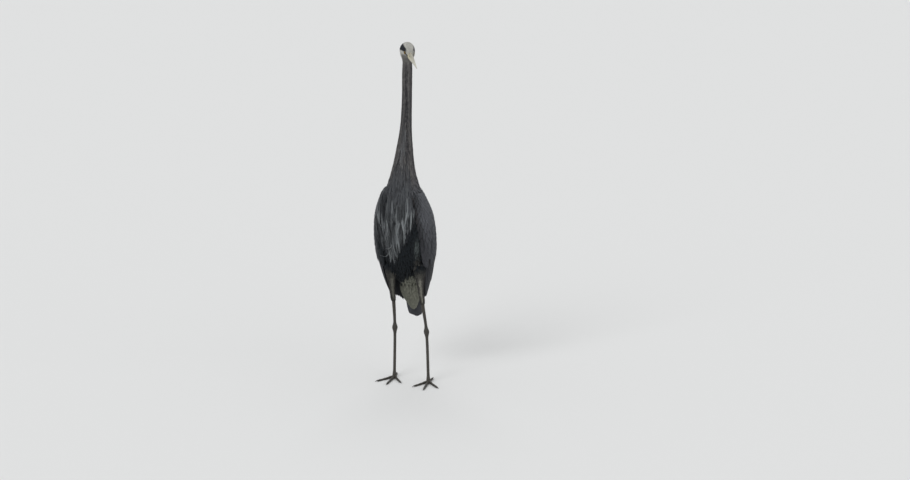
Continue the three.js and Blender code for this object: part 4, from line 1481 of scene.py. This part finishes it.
def scapular_coat(name, side, seed):
    """Long pointed plumes from the shoulder down the back, over the wing's upper edge."""
    rng = np.random.default_rng(seed)
    coat = Coat("plumes_back_" + name)
    # layer (0 below, 1 above), rows' spacing, plumes' spacing, half width against the upper layer's
    for layer, row_gap, gap, broad in ((0, 10.0, 9.0, 1.4), (1, 14.0, 11.0, 1.05)):
        at, angle = [], []
        for k, z in enumerate(levels(716.0, 430.0, row_gap)):
            first, last = scapular_edges(z)
            many = max(4, int((last - first) * 80 / gap))
            at.append(z + rng.uniform(-5, 5, many))
            share = (np.arange(many) + 0.5 * (k % 2) + 0.4 * rng.uniform(0, 1, many)) / many
            angle.append(mix(first, last, share))
        at, angle = np.concatenate(at), np.concatenate(angle)
        length = mix(60.0, 190.0, ease(at, 712, 560)) * rng.uniform(0.7, 1.1, len(at))
        length = np.minimum(length, at - 338 - 40 * rng.uniform(0, 1, len(at)) ** 2)
        at, angle, length = kept(length > 30, at, angle, length)
        many = len(at)
        roots = envelope.surface(at, angle * side, np.maximum(scapular_height(at, angle), 0))
        half = broad * mix(4.2, 2.6, ease(length, 60, 150)) * rng.uniform(0.8, 1.2, many)
        pale = rng.uniform(0, 1, many) * ease(at, 700, 600)
        colour = paint(SLATE, PLUME_PALE, 0.8 * pale * layer + 0.15)
        heading = twist(back_heading, back_field, 0.07 * rng.standard_normal(many))
        bend = 0.10 * rng.standard_normal(many)
        colours = shading(colour, rng, 0.06, root_dark=0.3, edge=(PLUME_PALE, 0.2),
                          shaft=(PLUME_PALE, 0.2))
        coat.cover(body, back_field, roots, heading, length, half, colours, 10, (1.7, 0.95, 0.12),
                   low=-2.0 + layer, high=2.0 + 2.0 * layer, arch=0.8, bend=bend, ridge=0.5)
    return coat


# ---------------------------------------------------------------- tail and crest


def in_tail(down, across, out):
    """From the tail's own frame (down its length, to the left, out from its upper side)."""
    down, across, out = np.broadcast_arrays(down, across, out)
    x = across + TAIL_VEER * down
    y = TAIL_BACK + down * np.sin(TAIL_LEAN) + out * np.cos(TAIL_LEAN)
    z = TAIL_ROOT - down * np.cos(TAIL_LEAN) + out * np.sin(TAIL_LEAN)
    return np.stack([x, y, z], -1)


def tail_coat():
    """Twelve tail feathers in a closed fan: the middle pair uppermost and the outer ones lower."""
    rng = np.random.default_rng(41)
    coat = Coat("tail_feathers")
    pair = np.repeat(np.arange(6), 2)
    side = np.tile([1, -1], 6)
    t = shares(14, 1.25)[:, None]
    across = side * (1.8 + 2.9 * pair) * mix(0.8, 1.25, t)
    down = (TAIL_LENGTH - 2 - 3.2 * pair) * t
    out = 3.5 - 1.15 * pair - 3.0 * (across / TAIL_HALF) ** 2 + 0.5 * side * (pair == 0)
    path = in_tail(down, across, out)
    normal = np.broadcast_to(unit(in_tail(0, 0, 1) - in_tail(0, 0, 0)), path.shape)
    colour = np.tile(mix(FLIGHT, SLATE_DARK, 0.5), (12, 1))
    colours = shading(colour, rng, 0.04, edge=(SLATE, 0.4), shaft=(BLACK, 0.3), tip=(BLACK, 0.3))
    coat.add(path, normal, outline(t[:, 0], np.full(12, 10.0), 6.0, 0.6, 0.1), colours,
             bake_place(undertail, path[0]), columns=7, camber=0.08, ridge=0.3)
    return coat


def undertail_coat():
    """Soft pale feathers under the tail, greyed by painted shade, their tips in loose overlapping
    rows.
    """
    rng = np.random.default_rng(42)
    coat = Coat("feathers_undertail")
    rows = levels(undertail.high - 8.0, undertail.low + 12, 5.5)
    roots, at, _ = uncovered(undertail, *rows_of(undertail, rows, 4.6, rng), 3.5)
    many = len(roots)
    length = np.minimum(mix(30.0, 44.0, ease(at, 0, 60)), undertail.high + 6 - at)
    length = varied(np.maximum(length, 12), 0.12, rng, many)
    heading = twist(lambda points: np.broadcast_to(undertail.axes[2], points.shape), flesh,
                    0.12 * rng.standard_normal(many))
    # painted shade: the white undertail is painted greyish
    colours = shading(np.tile(UNDERTAIL, (many, 1)), rng, 0.05, root_dark=0.2)
    coat.cover(undertail, flesh, roots, heading, length, np.full(many, 3.8), colours, 7, (2.2, 0.8),
               low=-2.5, high=2.0, arch=0.8)
    return coat


def crest_coat():
    """Two long black plumes that hang from the nape, under a tuft of shorter ones.

    Each plume follows a cubic through four knots, over a share of its length.
    """
    rng = np.random.default_rng(43)
    coat = Coat("crest_plumes")
    many = 10
    side = np.where(np.arange(many) % 2, 1.0, -1.0)
    rank = np.arange(many) // 2
    reach = np.array([1.0, 0.72, 0.5, 0.38, 0.3])[rank]
    t = shares(18, 1.1)
    start = in_head(np.stack([side * (12 - rank), np.full(many, 80.0), 14.0 + 1.2 * rank], -1))
    over = in_head(np.stack([side * (8 - 0.4 * rank), np.full(many, 107.0), 1.0 + 1.6 * rank], -1))
    hang = over + np.stack([3 + 0.8 * side, 8 + 0.6 * rank, np.full(many, -44.0)], -1)
    end = over + np.stack([10 + 2 * side, np.full(many, 7.0), np.full(many, -118.0)], -1)
    knots = np.stack([start, over, hang, end])
    places = np.array([0, 0.2, 0.5, 1.0])
    path = np.stack([through(places, knots[:, m])(t * reach[m]) for m in range(many)], 1)
    normal = np.broadcast_to(HEAD_TURN[:, 2] * 0.5 + HEAD_TURN[:, 1], path.shape)
    colours = shading(np.tile(BLACK, (many, 1)), rng, 0.08, shaft=(SLATE_DARK, 0.4))
    coat.add(path, normal, outline(t, mix(2.8, 2.0, rank / 4), 1.6, 0.9, 0.1, 0.4), colours,
             bake_place(head, start), ridge=0.5)
    # The tuft follows the back of the head, then leaves it.
    many = 70
    lean = rng.uniform(-1.15, 1.15, many)
    roots = head.surface(rng.uniform(78, 101, many), lean)
    length = rng.uniform(14, 34, many)
    colours = shading(np.tile(BLACK, (many, 1)), rng, 0.1)
    coat.cover(head, flesh, roots, twist(head_heading, flesh, -0.25 * lean), length,
               np.full(many, 1.6), colours, 7, (1.7, 0.9), low=-0.8, high=0.6 + length / 12,
               ridge=0.2)
    return coat


# ---------------------------------------------------------------- bill and eyes


def trough(t):
    """1 along the part of the upper bill that has a groove, from the root (0) to the tip (1)."""
    return ease(t, 0.0, 0.05) * (1 - ease(t, 0.5, 0.72))


def nostril(t):
    """A flat-topped hump of height 1 along the nostril."""
    return np.exp(-((t - 0.14) / 0.05) ** 4)


def bill_half(name, upper):
    """One half of the bill: ellipses that taper to the tip, cut flat along the mouth.

    The upper half has a ridge along its top and a groove along each side, with a nostril in it.
    """
    s = mix(BILL_INSET, -BILL_LENGTH, np.linspace(0, 1, 150) ** 0.95)[:, None]
    a = np.linspace(-np.pi, np.pi, 96, endpoint=False)[None]
    t = np.clip(-s / BILL_LENGTH, 0, 1)
    taper = (1 - t) ** BILL_TAPER
    side = (0.6 + BILL_HALF_WIDTH * taper * (1 - 0.25 * t)) * np.cos(a)
    rise = 0.6 + BILL_RISE * taper * (1 + 0.15 * t)
    drop = 0.6 + BILL_DROP * taper
    wave = np.sin(a)
    # The ridge: near the top the section comes to a blunt edge.
    ridge = np.abs(wave) + 0.06 * bell(a, np.pi / 2, 0.28)
    up = np.where(wave > 0, rise * ridge, -drop * np.abs(wave)) - 1.5 * t * t
    mouth = MOUTH_LINE + 0.9 * (1 - t) ** 4
    if upper:
        lean = np.where(a > np.pi / 2, np.pi - a, a)
        groove, slot = bell(lean, 0.42, 0.16) * trough(t), bell(lean, 0.40, 0.10) * nostril(t)
        side = side * (1 - 0.10 * groove - 0.16 * slot)
        up = np.maximum(up, mouth + 0.12)
    else:
        side = side * 0.985
        up = np.minimum(up, mouth - 0.12)
    bill = tube(name, in_head(np.stack(np.broadcast_arrays(side, s, up), -1)))
    points = to_head(read_points(bill.data))
    along = np.clip(-points[:, 1] / BILL_LENGTH, 0, 1)
    top = ease(points[:, 2], 1.5, 8.5) if upper else 0
    colour = paint(BILL_YELLOW, BILL_PALE, ease(along, 0.0, 0.5))
    colour = paint(colour, BILL_DUSK, 0.75 * top * (1 - 0.4 * along))
    colour = paint(colour, BILL_DUSK, 0.35 * ease(along, 0.82, 1.0))
    if upper:
        narrow = BILL_HALF_WIDTH * (1 - along) ** BILL_TAPER
        high = np.arctan2(points[:, 2] / BILL_RISE, np.abs(points[:, 0]) / BILL_HALF_WIDTH)
        hole = bell(high, 0.40, 0.10) * nostril(along) * ease(narrow, 1, 4)
        # painted shade: the groove is painted darker and the nostril near black, for the shade in
        # these hollows
        colour = paint(colour, BILL_DUSK, 0.45 * bell(high, 0.42, 0.2) * trough(along))
        colour = paint(colour, BLACK, 0.9 * np.clip(1.4 * hole, 0, 1))
    set_tint(bill.data, colour)
    bill.data.materials.append(horn_material(name + "_horn", 0.00025))
    return bill


def eye_axes(side):
    """The eye's centre and its axes: out along its look, up and across."""
    look = HEAD_TURN @ np.array((side * np.cos(EYE_TURN), -np.sin(EYE_TURN), 0.03))
    up = unit(HEAD_TURN[:, 2] - look * np.dot(HEAD_TURN[:, 2], look))
    return in_head((side * EYE_SIDE, EYE_BACK, EYE_UP)), look, up, np.cross(look, up)


def eye_ball(name, side):
    """A ball whose front swells a little; its first map gives the angle from the line of sight."""
    centre, look, up, across = eye_axes(side)
    polar = np.linspace(0.02, np.pi - 0.02, 48)[:, None]
    turned = circle(64)[None]
    radius = EYE_RADIUS + 0.25 * bell(polar, 0, 0.5)
    eye = tube("eye_" + name, from_start(centre, (radius * np.cos(polar), look),
                                         (radius * np.sin(polar) * np.cos(turned), up),
                                         (radius * np.sin(polar) * np.sin(turned), across)))
    points = read_points(eye.data) - centre
    angle = np.arccos(np.clip(unit(points) @ look, -1, 1))
    around = np.arctan2(points @ across, points @ up)
    loops = np.empty(len(eye.data.loops), np.int32)
    eye.data.loops.foreach_get("vertex_index", loops)
    set_uv(eye.data, "Iris", np.stack([angle / np.pi, 0.5 + 0.5 * np.cos(around)], -1), loops)
    eye.data.materials.append(eye_material("eye_" + name))
    return eye


def eye_lids(name, side):
    """Two lids as one ring: its inner edge hugs the ball and it rises outwards to the feathers.

    The opening is a circle flattened above. Fine folds run round the ring.
    """
    centre, look, up, across = eye_axes(side)
    turned, roll = circle(96)[:, None], circle(24)[None]
    above = np.maximum(np.cos(turned), 0)
    opening = LID_RADIUS * (1 - 0.05 * np.cos(turned) ** 2) - 0.8 * above ** 2
    share = 0.5 + 0.5 * np.cos(roll)  # 0 at the inner edge, 1 at the outer
    folds = 0.10 * np.sin(share * 4 * np.pi) * np.maximum(np.sin(roll), 0)
    wide = opening + (0.9 + 0.4 * above) * share
    inner = np.sqrt((EYE_RADIUS + 0.2) ** 2 - opening ** 2)
    along = inner + (0.1 + 0.7 * above) * share + (0.34 + 0.1 * above) * np.sin(roll) + folds
    lids = ring("eyelids_" + name, from_start(centre, (along, look), (wide * np.cos(turned), up),
                                              (wide * np.sin(turned), across)))
    lids.data.materials.append(bare_skin_material("eyelid_skin_" + name, LID))
    return lids


# ---------------------------------------------------------------- legs and feet


def leg_line(leg):
    """The bare leg's centre line: x and y as smooth functions of height."""
    knee, hem, hock, foot = (np.array(leg[key], float) for key in ("knee", "hem", "hock", "foot"))
    rows = np.array([mix(hem, knee, 0.4), hem, hock + (0, 2.5, 0), foot])
    return through(rows[:, 2], rows[:, 0]), through(rows[:, 2], rows[:, 1])


def leg_radius(z):
    """The shank's radius: thicker at the hock and the ankle, and above towards the thigh."""
    return 5.2 + 4 * bell(z, 182, 13) + 2 * bell(z, 10, 12) + 1.2 * ease(z, 200, 290)


def toe_axes(leg, toe):
    """The middle of the foot on the ground, and the level directions along and across a toe."""
    angle = TOES[toe][0] * DEG * leg["side"]
    ahead = np.array((np.sin(angle), -np.cos(angle), 0.0))
    return np.array((*leg["foot"][:2], 0.0)), ahead, np.array((-ahead[1], ahead[0], 0.0))


def toe_track(leg, toe, t):
    """A toe's centre line from behind the ankle to the claw's root, low over the ground."""
    foot, ahead, _ = toe_axes(leg, toe)
    rise = through(np.array([0, 0.23, 0.5, 0.77, 1.0]), np.array([3, 2.6, 1, 0.2, 0.0]))
    return from_start(foot, (mix(-0.1, 1.0, t) * TOES[toe][1], ahead), (SOLE + rise(t), UP))


def toe_radius(t):
    """A toe's radius: thinner towards the claw, with three knuckles."""
    return 4.6 * mix(1, 0.68, t) + 0.6 * sum(bell(t, at, 0.055) for at in (0.34, 0.62, 0.86))


def leg_mesh(name):
    """Shank, hock, foot and toes fused into one, then cut with the grooves between its plates.

    Every point is pushed in by the depth of the grooves: level rings on the front of the shank and
    on the tops of the toes, a few millimetres apart.
    """
    leg = LEGS[name]
    x, y = leg_line(leg)
    z = np.linspace(5, leg["hem"][2] + 26, 160)[:, None]
    a = circle(40)[None]
    r = leg_radius(z)
    # The hock is broad from side to side and has a ridge behind.
    heel = bell(z, 186, 11)
    behind = 1.2 * heel * (np.sin(a) > 0) * np.sin(a)
    shank = np.broadcast_arrays(x(z) + r * np.cos(a) * (1 + 0.08 * heel),
                                y(z) + 1.12 * r * np.sin(a) + behind, z)
    parts = [tube("shank_" + name, np.stack(shank, -1))]
    t = np.linspace(0, 1, 60)
    for toe in TOES:
        _, _, across = toe_axes(leg, toe)
        r = toe_radius(t)[:, None]
        grid = from_start(toe_track(leg, toe, t)[:, None], (r * np.cos(a), across),
                          (r * np.sin(a), UP))
        parts.append(tube("toe_" + toe + "_" + name, grid))
    polar = np.linspace(0.05, np.pi - 0.05, 20)[:, None]
    ball = np.broadcast_arrays(8.5 * np.sin(polar) * np.cos(a), 10 * np.sin(polar) * np.sin(a),
                               7.5 * np.cos(polar))
    parts.append(tube("pad_" + name, np.stack(ball, -1) + np.array((*leg["foot"][:2], 6.0))))
    made = fuse("leg_" + name, parts, LEG_VOXEL, 2)
    mesh = made.data
    points = read_points(mesh)
    normals = np.empty(len(mesh.vertices) * 3, np.float32)
    mesh.vertices.foreach_get("normal", normals)
    normals = normals.reshape(-1, 3)
    groove = plate_grooves(leg, points, normals)
    points = points - normals * (GROOVE_DEPTH * groove)[:, None]
    z = points[:, 2] = np.maximum(points[:, 2], 0.05)
    write_points(mesh, points)
    colour = paint(LEG_DARK, LEG_PALE, 0.5 + 0.2 * np.sin(z / 41))
    colour = paint(colour, LEG_THIGH, ease(z, 200, 260))
    set_tint(mesh, colour * (1 - 0.45 * groove)[:, None])
    mesh.materials.append(scale_material("leg_scales_" + name))
    return made


def groove_line(place, pitch, width):
    """1 in the middle of grooves that repeat at a pitch, fading over their width."""
    return bell(np.abs((place / pitch) % 1 - 0.5) * pitch, pitch / 2, width)


def plate_grooves(leg, points, normals):
    """How deep each point lies in a groove between plates, 0 to 1, on the shank or nearest toe."""
    z = points[:, 2]
    front = ease(-normals[:, 1], 0.1, 0.5)
    shank = groove_line(z + 1.5 * np.abs(normals[:, 0]), *SHANK_PLATES) * front * ease(z, 22, 30)
    nearest, along = np.full(len(z), np.inf), np.zeros(len(z))
    for toe in TOES:
        foot, ahead, across = toe_axes(leg, toe)
        reach = (points - foot) @ ahead
        gap = np.abs((points - foot) @ across) + np.maximum(-reach, 0)
        along = np.where(gap < nearest, reach, along)
        nearest = np.minimum(nearest, gap)
    on_top = ease(normals[:, 2], -0.1, 0.4) * (1 - ease(z, 9, 14))
    return np.maximum(shank, groove_line(along, *TOE_PLATES) * on_top * ease(along, 8, 13))


def claw(name, leg, toe):
    """A claw: a round section that narrows along an arc down to the ground."""
    _, ahead, across = toe_axes(leg, toe)
    t = np.linspace(0, 1, 24)[:, None]
    a = circle(20)[None]
    rise = 0.4 + 4.84 * t * (1 - t) - 2.6 * t ** 1.6
    r = mix(2.5, 0.45, t ** 1.1)
    grid = from_start(toe_track(leg, toe, 1.0), (t * (TOES[toe][2] + 0.5) - 1.5, ahead),
                      (r * 0.85 * np.cos(a), across), (rise + r * np.sin(a), UP))
    grid[..., 2] = np.maximum(grid[..., 2], 0.1)
    made = tube(name, grid)
    set_tint(made.data, np.tile(CLAW, (len(made.data.vertices), 1)))
    made.data.materials.append(horn_material(name + "_horn", 0.0002))
    return made


# ---------------------------------------------------------------- pieces and scene


def finish_piece(obj, slot, *nodes):
    """Fixes a piece to the bird and hides the solids that it replaces; slot is not used."""
    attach(obj, "root")
    if nodes:
        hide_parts(*nodes)


def facing(azimuth, elevation):
    """Axes right, up and back of a thing that faces the bird from a direction, in degrees.

    The azimuth runs from straight in front of the bird towards its left.
    """
    a, e = azimuth * DEG, elevation * DEG
    back = np.array((np.sin(a) * np.cos(e), -np.cos(a) * np.cos(e), np.sin(e)))
    right = np.array((np.cos(a), np.sin(a), 0.0))
    return right, np.cross(back, right), back


def place_object(name, data, axes, place):
    """An object for a camera or lamp, from its own axes and its place in metres."""
    obj = bpy.data.objects.new(name, data)
    matrix = np.eye(4)
    matrix[:3, :3], matrix[:3, 3] = np.stack(axes, 1), place
    obj.matrix_world = Matrix(matrix.tolist())
    bpy.context.scene.collection.objects.link(obj)
    return obj


def make_camera():
    """A long lens from the front, a little to the left and above, with the bird left of centre."""
    right, up, back = facing(13, 15)
    aim = right * AIM_RIGHT + up * AIM_UP
    data = bpy.data.cameras.new("camera")
    data.sensor_width = SENSOR
    data.lens = SENSOR * CAMERA_DISTANCE / FRAME_WIDTH
    data.clip_start, data.clip_end = 1.0, 600.0
    place = aim + back * CAMERA_DISTANCE
    bpy.context.scene.camera = place_object("camera", data, (right, up, back), place)


def add_sun(name, strength, azimuth, elevation, spread):
    """A broad, soft lamp from a direction."""
    data = bpy.data.lights.new(name, "SUN")
    data.energy, data.angle = strength, spread * DEG
    axes = facing(azimuth, elevation)
    place_object(name, data, axes, axes[2] * 5)


def make_surround():
    """A pale surround: one tone lights the bird, and another is seen by the camera and in shine."""
    n = Nodes(bpy.data.worlds.new("surround"), "Background")
    rays = n.node("ShaderNodeLightPath").outputs
    seen = n.maths("MAXIMUM", rays["Is Camera Ray"], rays["Is Transmission Ray"])
    seen = n.maths("MAXIMUM", seen, rays["Is Glossy Ray"])
    pale = n.node("ShaderNodeBackground", {"Color": rgba(srgb(226, 228, 229))}).outputs[0]
    pick = n.node("ShaderNodeMixShader", {0: seen, 1: n.shader.outputs[0], 2: pale}).outputs[0]
    n.put(n.tree.nodes["World Output"].inputs["Surface"], pick)
    return n.finish({"Color": (1.0, 1.0, 1.0, 1.0), "Strength": 0.6})


def make_stage():
    """A wide pale floor, a pale surround and three soft lamps."""
    corners = FLOOR_HALF * np.array([(-1, -1, 0), (1, -1, 0), (1, 1, 0), (-1, 1, 0)])
    floor = new_mesh("floor", corners, np.arange(4), [0])
    n = material("floor_paint")
    shade = n.grain(n.noise(3.0, 2.0), 0.985, 1.0)
    colour = n.blend(shade, rgba(srgb(212, 213, 214)), rgba(srgb(222, 223, 223)))
    floor.data.materials.append(n.finish({"Base Color": colour, "Roughness": 0.9,
                                          "Specular IOR Level": 0.1}))
    bpy.context.scene.world = make_surround()
    add_sun("key", 1.3, -20, 38, 30)
    add_sun("fill", 0.5, 62, 18, 60)
    add_sun("rim", 0.5, 195, 42, 40)
    bpy.context.scene.view_settings.view_transform = "Standard"


make_camera()
make_stage()

downy = feather_material("small_feathers", 0.85, barb=0.0006, relief=0.00006, shaft=0.0)
vaned = feather_material("vaned_feathers", 0.62, barb=0.0009, relief=0.00012, shaft=0.6)
plumy = feather_material("long_plumes", 0.7, barb=0.0012, relief=0.00015, shaft=0.3)

finish_piece(make_skin(), "belly", "head", "neck_upper", "neck_middle", "neck_lower", "trunk",
             "thigh_left", "thigh_right")
finish_piece(head_coat().build(downy), "crown")
finish_piece(neck_coat("feathers_neck_upper", 12, 1228.0, 985.0).build(downy), "neck")
finish_piece(neck_coat("feathers_neck_lower", 13, 985.0, 742.0).build(downy), "neck")
finish_piece(trunk_coat().build(downy), "belly")
finish_piece(breast_coat().build(plumy), "plume", "breast_plumes")
finish_piece(undertail_coat().build(downy), "undertail", "undertail_coverts")
finish_piece(tail_coat().build(vaned), "flight", "tail")
finish_piece(crest_coat().build(plumy), "crest", "crest_plume_left", "crest_plume_right")
finish_piece(bill_half("bill_upper_half", True), "bill", "bill_upper")
finish_piece(bill_half("bill_lower_half", False), "bill", "bill_lower")
for number, (name, leg) in enumerate(LEGS.items()):
    side = leg["side"]
    coverts, quills = "wing_coverts_" + name, "flight_feathers_" + name
    finish_piece(thigh_coat(name, 21 + number).build(downy), "thigh")
    finish_piece(covert_coat(name, side, 23 + number).build(vaned), "mantle", coverts)
    finish_piece(flight_coat(name, side, 25 + number).build(vaned), "flight", quills)
    finish_piece(scapular_coat(name, side, 27 + number).build(plumy), "plume",
                 "scapular_plumes_" + name)
    finish_piece(eye_ball(name, side), "iris", "eye_" + name)
    finish_piece(eye_lids(name, side), "crown")
    finish_piece(leg_mesh(name), "leg", "tibia_" + name, "tarsus_" + name, "foot_" + name)
    for toe in TOES:
        ending = toe + "_" + name
        finish_piece(claw("claw_horn_" + ending, leg, toe), "claw", "claw_" + ending)
